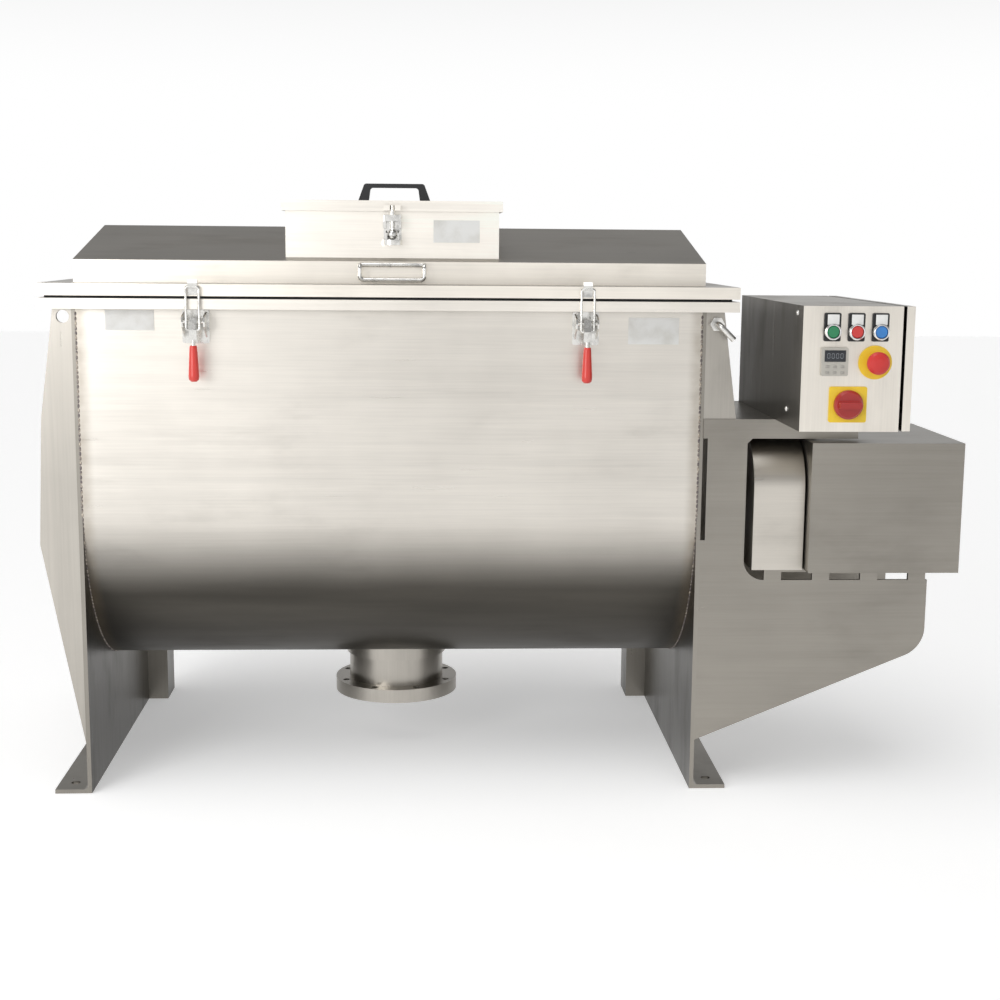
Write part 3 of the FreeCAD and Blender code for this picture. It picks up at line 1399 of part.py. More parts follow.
def hatch_latch_base():
    """Wall plate with a round foot and two ears that hold the latch pin."""
    wall = -size("hatch_front")
    back = wall - 3
    plate_outline = rectangle(-latch_half, latch_foot_bottom, latch_half, latch_z + 32, 3)
    body = plate("latch_base", "XZ", [plate_outline], back, wall)
    extrude(body, "Pad", "XY", [("circle", 0, latch_y, wall - latch_y)], latch_foot_bottom, latch_foot_top)
    ear_inner = clearance + latch_ball + 0.5
    ear_outer = ear_inner + 2
    ear_front = latch_y - 6
    ear_foot = latch_foot_top - 1
    ear = [(back, ear_foot), (back, latch_z + 8), (latch_y, latch_z + 7), (ear_front, latch_z + 3),
           (ear_front, ear_foot)]
    extrude(body, "Pad", "YZ", [ear], ear_inner, ear_outer)
    extrude(body, "Pad", "YZ", [ear], -ear_outer, -ear_inner)
    extrude(body, "Pad", "YZ", [("circle", latch_y, latch_z, latch_pin)], -ear_outer, ear_outer)
    return keep(body, "hatch_latch_base")


def hatch_latch_lever():
    """Swing bolt: a ball on the pin, a block with two cheeks, and a rod into the cover's lug."""
    angles = [math.radians(degrees) for degrees in range(-90, 61, 15)]
    ball = [(latch_ball * math.cos(angle), latch_ball * math.sin(angle)) for angle in angles]
    ball[0] = (0, -latch_ball)
    rod_top = lug_top - latch_z
    stem = turned("swing_bolt", "z", (0, latch_y, latch_z),
                  ball + [(latch_rod, latch_ball), (latch_rod, rod_top), (0, rod_top)])
    cheek_bottom = latch_z + cheek_rise
    block_bottom = cheek_bottom + cheek_height
    cheek = 5
    near = latch_y - 6
    far = latch_y + 6
    block = plate("swing_block", "XY", [rectangle(-latch_half, near, latch_half, far, 2)], block_bottom,
                  block_bottom + block_height)
    cheeks = [rectangle(left, near, left + cheek, far) for left in (-latch_half, latch_half - cheek)]
    extrude(block, "Pad", "XY", cheeks, cheek_bottom, block_bottom)
    solid = joined("swing_bolt_and_block", [stem, block])
    bore = doc.addObject("Part::Cylinder", "swing_bore")
    bore.Radius = latch_pin + number(running_gap)
    bore.Height = latch_ball * 2 + 1
    bind(bore, "Radius", running_gap + latch_pin)
    place(bore, "x", -latch_ball - 0.5, latch_y, latch_z)
    return keep(cut("swing_latch", solid, bore), "hatch_latch_lever")


# ---------------------------------------------------------------- toggle clamps

bail_radius = size("bail_rod") / 2
throw_share = 0.9
lid_front = -rim_half_y
bail_y = lid_front - size("keeper_thickness") - clearance - bail_radius
pivot_z = rim_height - size("clamp_drop")
pivot_y = bail_y + size("bail_throw") / 2
bail_z = pivot_z - size("bail_throw") * throw_share
clamp_pin = 3
bail_bend = 4.5
handle_half = 7
clamp_sheet = 3
ear_inner = size("bail_half") + bail_radius + 4
ear_outer = ear_inner + clamp_sheet
grip_top = pivot_z - size("grip_drop")
neck_top = grip_top + size("neck_length")


def clamp_base(side):
    name = "clamp_base_left" if side < 0 else "clamp_base_right"
    middle = size("clamp_spread") * side
    wall = -shell_outer
    top = rim_bottom - 2
    half = size("clamp_width") / 2
    back = wall - clamp_sheet
    outline = rectangle(middle - half, top - size("clamp_height"), middle + half, top, 4)
    body = plate(name, "XZ", [outline], back, wall)
    ear = [(back, pivot_z - 30), (back, pivot_z + 17), (pivot_y + 2, pivot_z + 12),
           (pivot_y - 6, pivot_z + 9), (pivot_y - 8, pivot_z), (pivot_y - 4, pivot_z - 9)]
    pin = ("circle", pivot_y, pivot_z, clamp_pin)
    extrude(body, "Pad", "YZ", [ear], middle + ear_inner, middle + ear_outer)
    extrude(body, "Pad", "YZ", [ear], middle - ear_outer, middle - ear_inner)
    extrude(body, "Pad", "YZ", [pin], middle - ear_outer, middle + ear_outer)
    return body


def clamp_bases():
    return keep(joined("clamp_base_pair", [clamp_base(-1), clamp_base(1)]), "clamp_bases")


def clamp_handle(side, label):
    middle = size("clamp_spread") * side
    near = middle - handle_half
    far = middle + handle_half
    outline = [(pivot_y + 6, pivot_z + 6), (pivot_y - 5, pivot_z + 8), (bail_y - 6, bail_z),
               (bail_y - 5, neck_top), (bail_y + 5, neck_top), (bail_y + 6, bail_z - 8),
               (pivot_y + 7, pivot_z - 8)]
    body = plate(label, "YZ", [outline], near, far)
    holes = [("circle", pivot_y, pivot_z, clamp_pin + running_gap),
             ("circle", bail_y, bail_z, bail_radius + running_gap)]
    extrude(body, "Pocket", "YZ", holes, near, far)
    extrude(body, "Pad", "XY", [("circle", middle, bail_y, size("neck_radius"))], grip_top, neck_top + 2)
    return keep(body, label)


def clamp_grip(side, label):
    length = size("grip_length")
    radius = size("grip_radius")
    profile = [(0, 0), (radius * 0.62, 0), (radius * 0.7, length * 0.05), (radius * 0.95, length * 0.7),
               (radius, length * 0.85), (radius * 0.9, length * 0.95), (radius * 0.55, length), (0, length)]
    body = turned(label, "-z", (size("clamp_spread") * side, bail_y, grip_top), profile)
    return keep(body, label)


def clamp_bail(side, label):
    middle = size("clamp_spread") * side
    half = size("bail_half")
    top = lid_top - 5
    left = middle - half
    right = middle + half
    route = [(middle - 2, bail_z), (left, bail_z), (left, top), (right, top), (right, bail_z),
             (middle + 2, bail_z)]
    points = [(across, bail_y, up) for across, up in route]
    return keep(bent_rod(label, points, size("bail_rod"), bail_bend), label)


def clamp_keepers():
    """Tongues on the lid's front edge, each folded back over the edge."""
    pieces = []
    half = size("keeper_width") / 2
    face = lid_front - size("keeper_thickness")
    foot = lid_bottom + 2
    fold = lid_front + 6
    outline = [(lid_front, foot), (face, foot), (face, lid_top + 2), (lid_front, lid_top + 8),
               (fold, lid_top + 8), (fold, lid_top), (lid_front, lid_top)]
    for side in (-1, 1):
        middle = size("clamp_spread") * side
        pieces.append(plate("keeper_left" if side < 0 else "keeper_right", "YZ", [outline],
                            middle - half, middle + half))
    return keep(joined("keepers", pieces), "clamp_keepers")


# ---------------------------------------------------------------- control cabinet

cabinet_left = plate_outer + size("cabinet_inset")
cabinet_right = cabinet_left + size("cabinet_width")
door_left = cabinet_right - size("door_depth")
box_right = door_left - size("door_gap")
cabinet_front = -shell_outer - size("cabinet_overhang")
cabinet_back = cabinet_front + size("cabinet_depth")
cabinet_bottom = shelf_height
cabinet_top = cabinet_bottom + size("cabinet_height")
cabinet_sheet = size("cabinet_sheet")
panel_plate = size("panel_plate")
hole_gap = 0.4
stem_depth = 12
button_hole = size("button_radius") + hole_gap
button_x = [cabinet_left + size("first_button") + size("button_pitch") * step for step in range(3)]
button_z = cabinet_top - size("button_drop")
holder_low = button_z - 17
stop_x = cabinet_left + size("stop_across")
stop_z = cabinet_top - size("stop_drop")
switch_x = cabinet_left + size("switch_across")
switch_z = cabinet_top - size("switch_drop")
switch_bore = 8
door_pin_x = door_left - 1.5
door_pin_y = cabinet_back + 6
door_pin = 2
door_barrel = 4
barrel_height = 30
tab_sheet = 3
door_barrels = [cabinet_bottom + 40, cabinet_top - 70]


def cabinet_inside(bottom):
    """End view of the room inside the cabinet or its door, above the given bottom."""
    return rectangle(cabinet_front + cabinet_sheet, bottom + cabinet_sheet, cabinet_back - cabinet_sheet,
                     cabinet_top - cabinet_sheet)


def control_cabinet():
    body = plate("cabinet", "YZ", [rectangle(cabinet_front, cabinet_bottom, cabinet_back, cabinet_top)],
                 cabinet_left, box_right)
    extrude(body, "Pocket", "YZ", [cabinet_inside(cabinet_bottom)], cabinet_left + cabinet_sheet, box_right)
    holes = [("circle", across, button_z, button_hole) for across in button_x]
    holes += [("circle", stop_x, stop_z, button_hole), ("circle", switch_x, switch_z, switch_bore + hole_gap)]
    extrude(body, "Pocket", "XZ", holes, cabinet_front, cabinet_front + cabinet_sheet)
    tab_left = box_right - 12
    tab_back = door_pin_y + 4
    tab = [(tab_left, cabinet_back), (tab_left, cabinet_back + 4), (door_pin_x - 3, tab_back),
           (door_pin_x + 3, tab_back), (door_pin_x + 4, door_pin_y - 3), (box_right, cabinet_back)]
    for base in door_barrels:
        under = base - clearance
        over = base + barrel_height + clearance
        extrude(body, "Pad", "XY", [tab], under - tab_sheet, under)
        extrude(body, "Pad", "XY", [tab], over, over + tab_sheet)
        extrude(body, "Pad", "XY", [("circle", door_pin_x, door_pin_y, door_pin)], under - tab_sheet,
                over + tab_sheet)
    return keep(body, "control_cabinet")


def cabinet_door():
    bottom = cabinet_bottom + 1
    body = plate("door", "YZ", [rectangle(cabinet_front, bottom, cabinet_back, cabinet_top)], door_left,
                 cabinet_right)
    extrude(body, "Pocket", "YZ", [cabinet_inside(bottom)], door_left, cabinet_right - cabinet_sheet)
    strap = rectangle(door_left, cabinet_back - 1, door_left + 10, cabinet_back + 4)
    for base in door_barrels:
        top = base + barrel_height
        extrude(body, "Pad", "XY", [strap], base, top)
        extrude(body, "Pad", "XY", [("circle", door_pin_x, door_pin_y, door_barrel)], base, top)
        extrude(body, "Pocket", "XY", [("circle", door_pin_x, door_pin_y, running_gap + door_pin)], base, top)
    return keep(body, "cabinet_door")


def button_holders():
    pieces = []
    half = size("holder_width") / 2
    face = cabinet_front - panel_plate
    collar = size("button_radius") + 3.5
    for index, across in enumerate(button_x):
        outline = rectangle(across - half, holder_low, across + half, holder_low + size("holder_height"), 3)
        hole = ("circle", across, button_z, button_hole)
        body = plate("holder_%d" % index, "XZ", [outline, hole], face, cabinet_front)
        extrude(body, "Pad", "XZ", [("circle", across, button_z, collar), hole], face - 4, face)
        pieces.append(body)
    return keep(joined("holders", pieces), "button_holders")


def push_button(index, label):
    radius = size("button_radius")
    step = -cabinet_sheet - 1
    top = panel_plate + 8
    profile = [(0, -stem_depth), (radius - 2, -stem_depth), (radius - 2, step), (radius, step),
               (radius, top - 2), (radius - 1.5, top), (0, top)]
    return keep(turned(label, "-y", (button_x[index], cabinet_front, button_z), profile), label)


def speed_display():
    left = cabinet_left + size("display_across")
    right = left + size("display_width")
    top = cabinet_top - size("display_drop")
    middle = top - size("display_height") / 2
    face = cabinet_front - 6
    outline = rectangle(left, top - size("display_height"), right, top, 3)
    body = plate("display", "XZ", [outline], face, cabinet_front)
    extrude(body, "Pocket", "XZ", [rectangle(left + 7, middle, right - 5, top - 7)], face, face + 1.5)
    return keep(body, "speed_display")


def estop_ring():
    ring = [("circle", stop_x, stop_z, radius) for radius in (size("stop_ring_radius"), button_hole)]
    body = plate("stop_ring", "XZ", ring, cabinet_front - panel_plate, cabinet_front)
    return keep(body, "estop_ring")


def estop_button():
    """Mushroom head on a stem."""
    stem = size("button_radius")
    head = 20
    profile = [(0, -14), (stem - 2, -14), (stem, -12), (stem, 16), (head - 1, 17), (head, 20), (head, 26),
               (head - 4, 31), (head - 12, 33.5), (0, 34)]
    return keep(turned("stop_button", "-y", (stop_x, cabinet_front, stop_z), profile), "estop_button")


def switch_plate():
    half_x = size("switch_width") / 2
    half_z = size("switch_height") / 2
    outline = rectangle(switch_x - half_x, switch_z - half_z, switch_x + half_x, switch_z + half_z, 4)
    hole = ("circle", switch_x, switch_z, switch_bore + hole_gap)
    body = plate("switch_square", "XZ", [outline, hole], cabinet_front - panel_plate, cabinet_front)
    return keep(body, "switch_plate")


def main_switch_knob():
    face = panel_plate + clearance
    top = face + 12
    radius = size("switch_radius")
    knob = turned("switch_knob", "-y", (switch_x, cabinet_front, switch_z),
                  [(0, -16), (switch_bore, -16), (switch_bore, face), (radius, face), (radius, top - 5),
                   (radius - 4, top), (0, top)])
    grip = radius - 6
    extrude(knob, "Pad", "XY", [rectangle(-grip, -6, grip, 6, 3)], face, top + 12)
    return keep(knob, "main_switch_knob")


def purge_fitting():
    """A nut and a bent hose spigot on the gusset beside the control shelf."""
    across = plate_outer + 19
    up = rim_bottom - 23
    wall = -shell_outer
    stand = wall - 32
    reach = 28
    spigot_diameter = 11
    nut = plate("fitting_nut", "XZ", [hexagon(across, up, 14)], wall - 12, wall)
    route = [(across, wall - 6, up), (across, stand, up), (across + reach, stand, up - reach)]
    spigot = bent_rod("fitting_spigot", route, spigot_diameter, spigot_diameter)
    return keep(joined("fitting", [nut, spigot]), "purge_fitting")


# ---------------------------------------------------------------- the whole machine

def build():
    trough_shell()
    end_plate(-1, "left_end_plate")
    end_plate(1, "right_end_plate")
    end_gussets()
    trough_rim()
    rear_posts()
    discharge_spout()
    seal_housings()
    bearing_brackets()
    shaft_bearings()
    housing_bolts()
    main_shaft()
    outer = ribbons("outer_ribbon", size("ribbon_radius"), size("ribbon_width"), 1)
    inner = ribbons("inner_ribbon", size("inner_ribbon_radius"), size("inner_ribbon_width"), -1)
    keep(outer, "outer_ribbons")
    keep(inner, "inner_ribbons")
    ribbon_arms([outer, inner])
    driven_sprocket()
    motor_sprocket()
    output_shaft()
    drive_chain()
    drive_bracket("drive_bracket_front", -shell_outer + plate_thickness)
    drive_bracket("drive_bracket_rear", -shell_outer + size("rear_bracket_depth"))
    control_shelf()
    motor_base()
    gear_reducer()
    drive_motor()
    motor_cover()
    chain_guard()
    lid_panel()
    lid_gasket()
    lid_handle()
    lid_hinge_ears()
    lid_hinge_leaves()
    hatch_curb()
    hatch_cover()
    hatch_gasket()
    hatch_handle()
    hatch_latch_base()
    hatch_latch_lever()
    clamp_bases()
    clamp_keepers()
    for side, name in ((-1, "left"), (1, "right")):
        clamp_handle(side, name + "_clamp_handle")
        clamp_grip(side, name + "_clamp_grip")
        clamp_bail(side, name + "_clamp_bail")
    control_cabinet()
    cabinet_door()
    button_holders()
    for index, name in enumerate(("green_button", "red_button", "blue_button")):
        push_button(index, name)
    speed_display()
    estop_ring()
    estop_button()
    switch_plate()
    main_switch_knob()
    purge_fitting()


def check_and_write():
    doc.recompute()
    for item in doc.Objects:
        if "Invalid" in item.State or "Error" in item.State:
            raise RuntimeError("failed feature: " + item.Name)
    os.makedirs("parts", exist_ok=True)
    for item in nodes:
        shape = item.Shape
        if shape.isNull() or not shape.isValid() or not shape.Solids:
            raise RuntimeError("bad shape: " + item.Label)
        shape.exportStep("parts/%s.step" % item.Label)
        print("%-22s %2d solids  %10.0f mm3" % (item.Label, len(shape.Solids), shape.Volume))


build()
check_and_write()
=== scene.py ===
import math

import bpy
from bpy.props import FloatProperty, FloatVectorProperty, PointerProperty
from bpy.types import Operator, Panel, PropertyGroup
from mathutils import Matrix, Vector


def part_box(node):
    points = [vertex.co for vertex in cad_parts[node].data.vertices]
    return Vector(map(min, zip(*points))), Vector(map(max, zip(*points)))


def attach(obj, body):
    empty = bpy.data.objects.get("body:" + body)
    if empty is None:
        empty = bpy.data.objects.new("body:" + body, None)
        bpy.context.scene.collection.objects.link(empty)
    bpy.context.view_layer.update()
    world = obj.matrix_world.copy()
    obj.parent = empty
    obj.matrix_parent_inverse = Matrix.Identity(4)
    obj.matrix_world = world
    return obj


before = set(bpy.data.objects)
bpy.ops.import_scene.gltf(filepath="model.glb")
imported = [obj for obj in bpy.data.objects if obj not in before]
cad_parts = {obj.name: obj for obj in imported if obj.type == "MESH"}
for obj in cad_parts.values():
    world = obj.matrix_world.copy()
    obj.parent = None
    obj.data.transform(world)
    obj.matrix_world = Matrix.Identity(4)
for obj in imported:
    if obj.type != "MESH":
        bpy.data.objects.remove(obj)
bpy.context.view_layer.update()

bl_info = {
    "name": "Ribbon Blender",
    "version": (1, 0, 0),
    "blender": (4, 5, 0),
    "location": "3D View > Sidebar > Ribbon Blender",
    "description": "Finishes and small fittings of a horizontal ribbon blender",
    "category": "Object",
}


def box(node):
    """Lowest and highest corner of a node, as two vectors."""
    low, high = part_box(node)
    return Vector(low), Vector(high)


def middle(node):
    """Centre of a node's box."""
    low, high = box(node)
    return (low + high) / 2


TROUGH_LOW, TROUGH_HIGH = box("trough_shell")
RIM_LOW, RIM_HIGH = box("trough_rim")
SHAFT_HEIGHT = middle("main_shaft").z


# ---------------------------------------------------------------- settings

class SteelSettings(PropertyGroup):
    """Colours and grain of the stainless sheets; the three colours are one steel with painted light and shade
    """
    # Painted light: the brightest sheet colour, a lit copy of the steel for the trough, rim and hatch.
    bright: FloatVectorProperty(
        name="Bright sheet", description="Trough, its rim and the hatch", subtype="COLOR",
        default=(0.70, 0.665, 0.61), min=0, max=1)
    plain: FloatVectorProperty(
        name="Plain sheet", description="Lid, chain guard, cabinet, outlet and agitator", subtype="COLOR",
        default=(0.44, 0.415, 0.375), min=0, max=1)
    # Painted shade: the darkest sheet colour, a shaded copy of the steel for the underside, end plates and
    # brackets.
    shaded_sheet: FloatVectorProperty(
        name="Dull sheet", description="Underside of the trough, end plates and brackets", subtype="COLOR",
        default=(0.20, 0.185, 0.16), min=0, max=1)
    grain: FloatProperty(
        name="Grain pitch", description="Spacing of the brushing lines", subtype="DISTANCE",
        default=0.0032, min=0.0005, max=0.02)
    roughness: FloatProperty(
        name="Roughness", description="Roughness of the brushed sheets", default=0.33, min=0.05, max=1)


class PlasticSettings(PropertyGroup):
    """Colours of the plastic and rubber pieces"""
    grip: FloatVectorProperty(
        name="Grip", description="Dipped grips of the clamps", subtype="COLOR",
        default=(0.72, 0.045, 0.032), min=0, max=1)
    stop: FloatVectorProperty(
        name="Stop button", description="Stop button and the turning switch", subtype="COLOR",
        default=(0.66, 0.035, 0.03), min=0, max=1)
    yellow: FloatVectorProperty(
        name="Yellow plates", description="Plates behind the stop button and the switch", subtype="COLOR",
        default=(0.93, 0.64, 0.035), min=0, max=1)
    green: FloatVectorProperty(
        name="Green button", description="Start button", subtype="COLOR",
        default=(0.008, 0.23, 0.085), min=0, max=1)
    blue: FloatVectorProperty(
        name="Blue button", description="Third button", subtype="COLOR",
        default=(0.025, 0.22, 0.62), min=0, max=1)


class DetailSettings(PropertyGroup):
    """Sizes of the small pieces"""
    bead_length: FloatProperty(
        name="Weld length", description="Length of one bead of the seam welds", subtype="DISTANCE",
        default=0.0085, min=0.003, max=0.03)
    bead_width: FloatProperty(
        name="Weld width", description="Width of the weld beads", subtype="DISTANCE",
        default=0.0044, min=0.001, max=0.01)
    bead_height: FloatProperty(
        name="Weld height", description="Height of the weld beads", subtype="DISTANCE",
        default=0.0016, min=0.0005, max=0.004)
    screw_radius: FloatProperty(
        name="Screw head", description="Radius of the small screw heads", subtype="DISTANCE",
        default=0.005, min=0.002, max=0.01)
    label_rise: FloatProperty(
        name="Label rise", description="How far the blank labels stand out", subtype="DISTANCE",
        default=0.0006, min=0.0002, max=0.002)


class StageSettings(PropertyGroup):
    """Camera, floor and lights"""
    lens: FloatProperty(
        name="Lens", description="Focal length of the camera, in millimetres",
        default=56.64, min=20, max=200)
    camera_place: FloatVectorProperty(
        name="Camera place", description="Where the camera stands", subtype="TRANSLATION",
        default=(0.0607, -3.3296, 1.0662))
    yaw: FloatProperty(
        name="Yaw", description="Turn of the camera to the right", subtype="ANGLE",
        default=math.radians(2.79))
    pitch: FloatProperty(
        name="Pitch", description="Tilt of the camera downwards", subtype="ANGLE",
        default=math.radians(9.35))
    roll: FloatProperty(
        name="Roll", description="Roll of the camera", subtype="ANGLE", default=math.radians(0.48))
    floor: FloatVectorProperty(
        name="Floor", description="Colour of the floor", subtype="COLOR",
        default=(0.86, 0.86, 0.86), min=0, max=1)
    floor_glow: FloatProperty(
        name="Floor glow", description="Light that the floor adds where it is seen",
        default=0.36, min=0, max=1)
    key_power: FloatProperty(
        name="Key lamp", description="Power of the lamp at the left", default=42, min=0, max=500)
    key_size: FloatProperty(
        name="Key lamp size", description="Side of the square lamp", subtype="DISTANCE",
        default=1.5, min=0.1, max=5)
    key_place: FloatVectorProperty(
        name="Key lamp place", description="Where the lamp stands", subtype="TRANSLATION",
        default=(-2.1, -3.1, 1.5))
    key_target: FloatVectorProperty(
        name="Key lamp target", description="Where the lamp looks", subtype="TRANSLATION",
        default=(-0.3, 0, 0.6))
    sky_power: FloatProperty(
        name="Sky", description="Strength of the soft light from above",
        default=1.15, min=0, max=10)
    sky_spread: FloatProperty(
        name="Sky spread", description="Width of the soft light", subtype="ANGLE",
        default=math.radians(50))
    sky_from: FloatVectorProperty(
        name="Sky direction", description="Where the soft light comes from", subtype="DIRECTION",
        default=(-0.25, -0.35, 1.0))


# ---------------------------------------------------------------- shader arithmetic

class Field:
    """A socket of a material that takes part in Python arithmetic"""

    def __init__(self, tree, socket):
        self.tree = tree
        self.socket = socket

    def math(self, operation, *others):
        """A Math node on this field and the others."""
        node = self.tree.nodes.new("ShaderNodeMath")
        node.operation = operation
        for place, value in enumerate((self,) + others):
            feed(self.tree, node.inputs[place], value)
        return Field(self.tree, node.outputs[0])

    def __add__(self, other):
        return self.math("ADD", other)

    def __radd__(self, other):
        return self.math("ADD", other)

    def __sub__(self, other):
        return self.math("SUBTRACT", other)

    def __rsub__(self, other):
        return self.math("MULTIPLY", -1.0).math("ADD", other)

    def __mul__(self, other):
        return self.math("MULTIPLY", other)

    def between(self, low, high):
        """0 up to low, 1 from high, and smooth in between."""
        node = self.tree.nodes.new("ShaderNodeMapRange")
        node.interpolation_type = "SMOOTHSTEP"
        feed(self.tree, node.inputs["Value"], self)
        node.inputs["From Min"].default_value = low
        node.inputs["From Max"].default_value = high
        return Field(self.tree, node.outputs["Result"])


def feed(tree, socket, value):
    """Links a field to a socket, or writes a plain value on it."""
    if isinstance(value, Field):
        tree.links.new(value.socket, socket)
    elif isinstance(value, (tuple, list)) and len(value) == 3 and socket.type == "RGBA":
        socket.default_value = (*value, 1)
    else:
        socket.default_value = value


# Where a Mix node keeps its factor, its two colours and the colour that it gives.
COLOUR_MIX_INPUTS = (0, 6, 7)
COLOUR_MIX_OUTPUT = 2


class Finish:
    """One material, built from its shader's inputs"""

    def __init__(self, name):
        self.material = bpy.data.materials.new(name)
        self.material.use_nodes = True
        self.tree = self.material.node_tree
        self.shader = self.tree.nodes["Principled BSDF"]
        self.place = self.node("ShaderNodeTexCoord", output="Object")

    def node(self, kind, settings=None, inputs=None, output=0):
        """Adds one node with its settings and inputs, and returns one output as a field."""
        node = self.tree.nodes.new(kind)
        for name, value in (settings or {}).items():
            setattr(node, name, value)
        for name, value in (inputs or {}).items():
            feed(self.tree, node.inputs[name], value)
        return Field(self.tree, node.outputs[output])

    def axis(self, letter, of=None):
        """One coordinate of the place, or of another vector."""
        return self.node("ShaderNodeSeparateXYZ", inputs={"Vector": of or self.place}, output=letter)

    def noise(self, scale, detail=3.0, stretch=(1, 1, 1), roughness=0.55):
        """Soft noise from 0 to 1; stretch shortens or lengthens it along the axes."""
        mapped = self.node("ShaderNodeMapping", inputs={"Vector": self.place, "Scale": stretch})
        return self.node("ShaderNodeTexNoise", inputs={
            "Vector": mapped, "Scale": scale, "Detail": detail, "Roughness": roughness})

    def mix(self, factor, low, high):
        """A colour between two colours."""
        node = self.tree.nodes.new("ShaderNodeMix")
        node.data_type = "RGBA"
        for place, value in zip(COLOUR_MIX_INPUTS, (factor, low, high)):
            feed(self.tree, node.inputs[place], value)
        return Field(self.tree, node.outputs[COLOUR_MIX_OUTPUT])

    def scaled(self, colour, factor):
        """A colour made lighter or darker by a factor."""
        node = self.tree.nodes.new("ShaderNodeVectorMath")
        node.operation = "SCALE"
        feed(self.tree, node.inputs["Vector"], colour)
        feed(self.tree, node.inputs["Scale"], factor)
        return Field(self.tree, node.outputs["Vector"])

    def bump(self, height, distance, strength=1.0):
        """A normal from a height field."""
        return self.node("ShaderNodeBump", inputs={
            "Height": height, "Distance": distance, "Strength": strength})

    def shade(self, **inputs):
        """Writes the shader's inputs, named with underscores for spaces, and returns the material."""
        for name, value in inputs.items():
            feed(self.tree, self.shader.inputs[name.replace("_", " ")], value)
        return self.material


# ---------------------------------------------------------------- finishes

# How noise is drawn out into lines along each axis.
STRETCH = {"X": (0.02, 1, 1), "Z": (1, 1, 0.02)}


def tinted(colour, factor):
    """A colour times a factor, no brighter than white."""
    return tuple(min(1.0, factor * c) for c in colour)


def brushed(name, colour, along="X", wear=1.0):
    """Brushed stainless sheet: fine lines along one axis, cloudy tone, rubbed patches and a few scratches."""
    steel = bpy.context.scene.ribbon_steel
    finish = Finish(name)
    fine = 1 / steel.grain
    stretch = STRETCH[along]
    lines = finish.noise(fine, 2.0, stretch)
    long_lines = finish.noise(fine / 7, 3.0, stretch)
    cloud = finish.noise(2.3, 4.0)
    rubbed = finish.noise(9.0, 5.0, tuple(0.4 + 0.6 * s for s in stretch))
    scratch = finish.noise(60.0, 1.0, tuple(0.06 + s for s in stretch)).between(0.70, 0.76)
    tone = lines * 0.10 + long_lines * 0.12 + cloud * 0.34 + 0.72
    tone = tone - rubbed.between(0.52, 0.80) * (0.10 * wear)
    shade = finish.mix(tone.between(0.72, 1.18), tinted(colour, 0.72), tinted(colour, 1.22))
    rough = steel.roughness + (lines - 0.5) * 0.10
    rough = rough + rubbed.between(0.45, 0.75) * (0.10 * wear) - scratch * 0.06
    relief = lines * 0.6 + long_lines * 0.4 - scratch * 0.5
    return finish, shade, rough, finish.bump(relief, 0.00012, 0.35)


def sheet_steel(name, colour, along="X", wear=1.0, front=1.0, inside=1.0):
    """Brushed sheet with painted light. Faces that look to the front get a painted highlight, front times the
    tone, and those that look in towards the middle of the machine get painted shade, inside times it."""
    finish, shade, rough, normal = brushed(name, colour, along, wear)
    facing = finish.node("ShaderNodeNewGeometry", output="Normal")
    if front != 1.0:
        # Painted highlight: faces that look to the front are made brighter by front.
        ahead = (finish.axis("Y", facing) * -1).between(0.70, 0.95)
        shade = finish.scaled(shade, ahead * (front - 1.0) + 1.0)
    if inside != 1.0:
        # Painted shade: faces that look in towards the middle of the machine are made darker by inside.
        inward_shade = (finish.axis("X", facing) * finish.axis("X").math("SIGN") * -1).between(0.5, 0.9)
        shade = finish.scaled(shade, inward_shade * (inside - 1.0) + 1.0)
    return finish.shade(Base_Color=shade, Roughness=rough, Metallic=1.0, Normal=normal)


def trough_steel():
    """Trough sheet: painted light on its flat front, painted shade where it curves under, and blued by the
    end seams.
    """
    steel = bpy.context.scene.ribbon_steel
    finish, shade, rough, normal = brushed("trough_sheet", steel.bright, "X")
    facing = finish.node("ShaderNodeNewGeometry", output="Normal")
    wave = (finish.noise(1.6, 2.0, (1, 1, 0)) - 0.5) * 0.10
    # Painted shade on the faces that turn down under the trough, with a wavy edge.
    under = (finish.axis("Z", facing) * -1 + wave).between(0.0, 0.52)
    streak = finish.noise(7.0, 3.0, (0.2, 1, 2.5))
    # The colour of that painted shade: the darkest sheet colour made darker still, in streaks.
    dark = finish.mix(streak, tinted(steel.shaded_sheet, 0.22), tinted(steel.shaded_sheet, 0.62))
    shade = finish.mix(under, shade, dark)
    reach = finish.axis("X").math("ABSOLUTE")
    heat = reach.between(TROUGH_HIGH.x - 0.028, TROUGH_HIGH.x - 0.004)
    heat = heat * (finish.noise(30.0, 2.0) * 0.6 + 0.1)
    shade = finish.mix(heat, shade, (0.24, 0.19, 0.13))
    return finish.shade(Base_Color=shade, Roughness=rough + under * 0.05, Metallic=1.0, Normal=normal)


def polished_steel(name, colour=(0.80, 0.79, 0.76), roughness=0.14):
    """Bright fittings: clear reflections, with rubbed and dusty patches."""
    finish = Finish(name)
    dust = finish.noise(55.0, 4.0)
    wear = finish.noise(220.0, 2.0)
    shade = finish.mix(dust.between(0.40, 0.75), colour, tinted(colour, 0.62))
    rough = dust.between(0.35, 0.8) * 0.22 + wear * 0.08 + roughness
    return finish.shade(
        Base_Color=shade, Metallic=1.0, Roughness=rough, Normal=finish.bump(wear, 0.0001, 0.25))


def enamel(name, colour):
    """Machine enamel over a casting: slight orange peel and oily, dusty patches."""
    finish = Finish(name)
    dust = finish.noise(14.0, 5.0)
    peel = finish.noise(260.0, 1.0)
    shade = finish.mix(dust.between(0.42, 0.72), colour, tuple(0.6 * c + 0.03 for c in colour))
    return finish.shade(
        Base_Color=shade, Metallic=0.0, Roughness=dust * 0.25 + 0.28, Specular_IOR_Level=0.5,
        Normal=finish.bump(peel, 0.0002, 0.3))


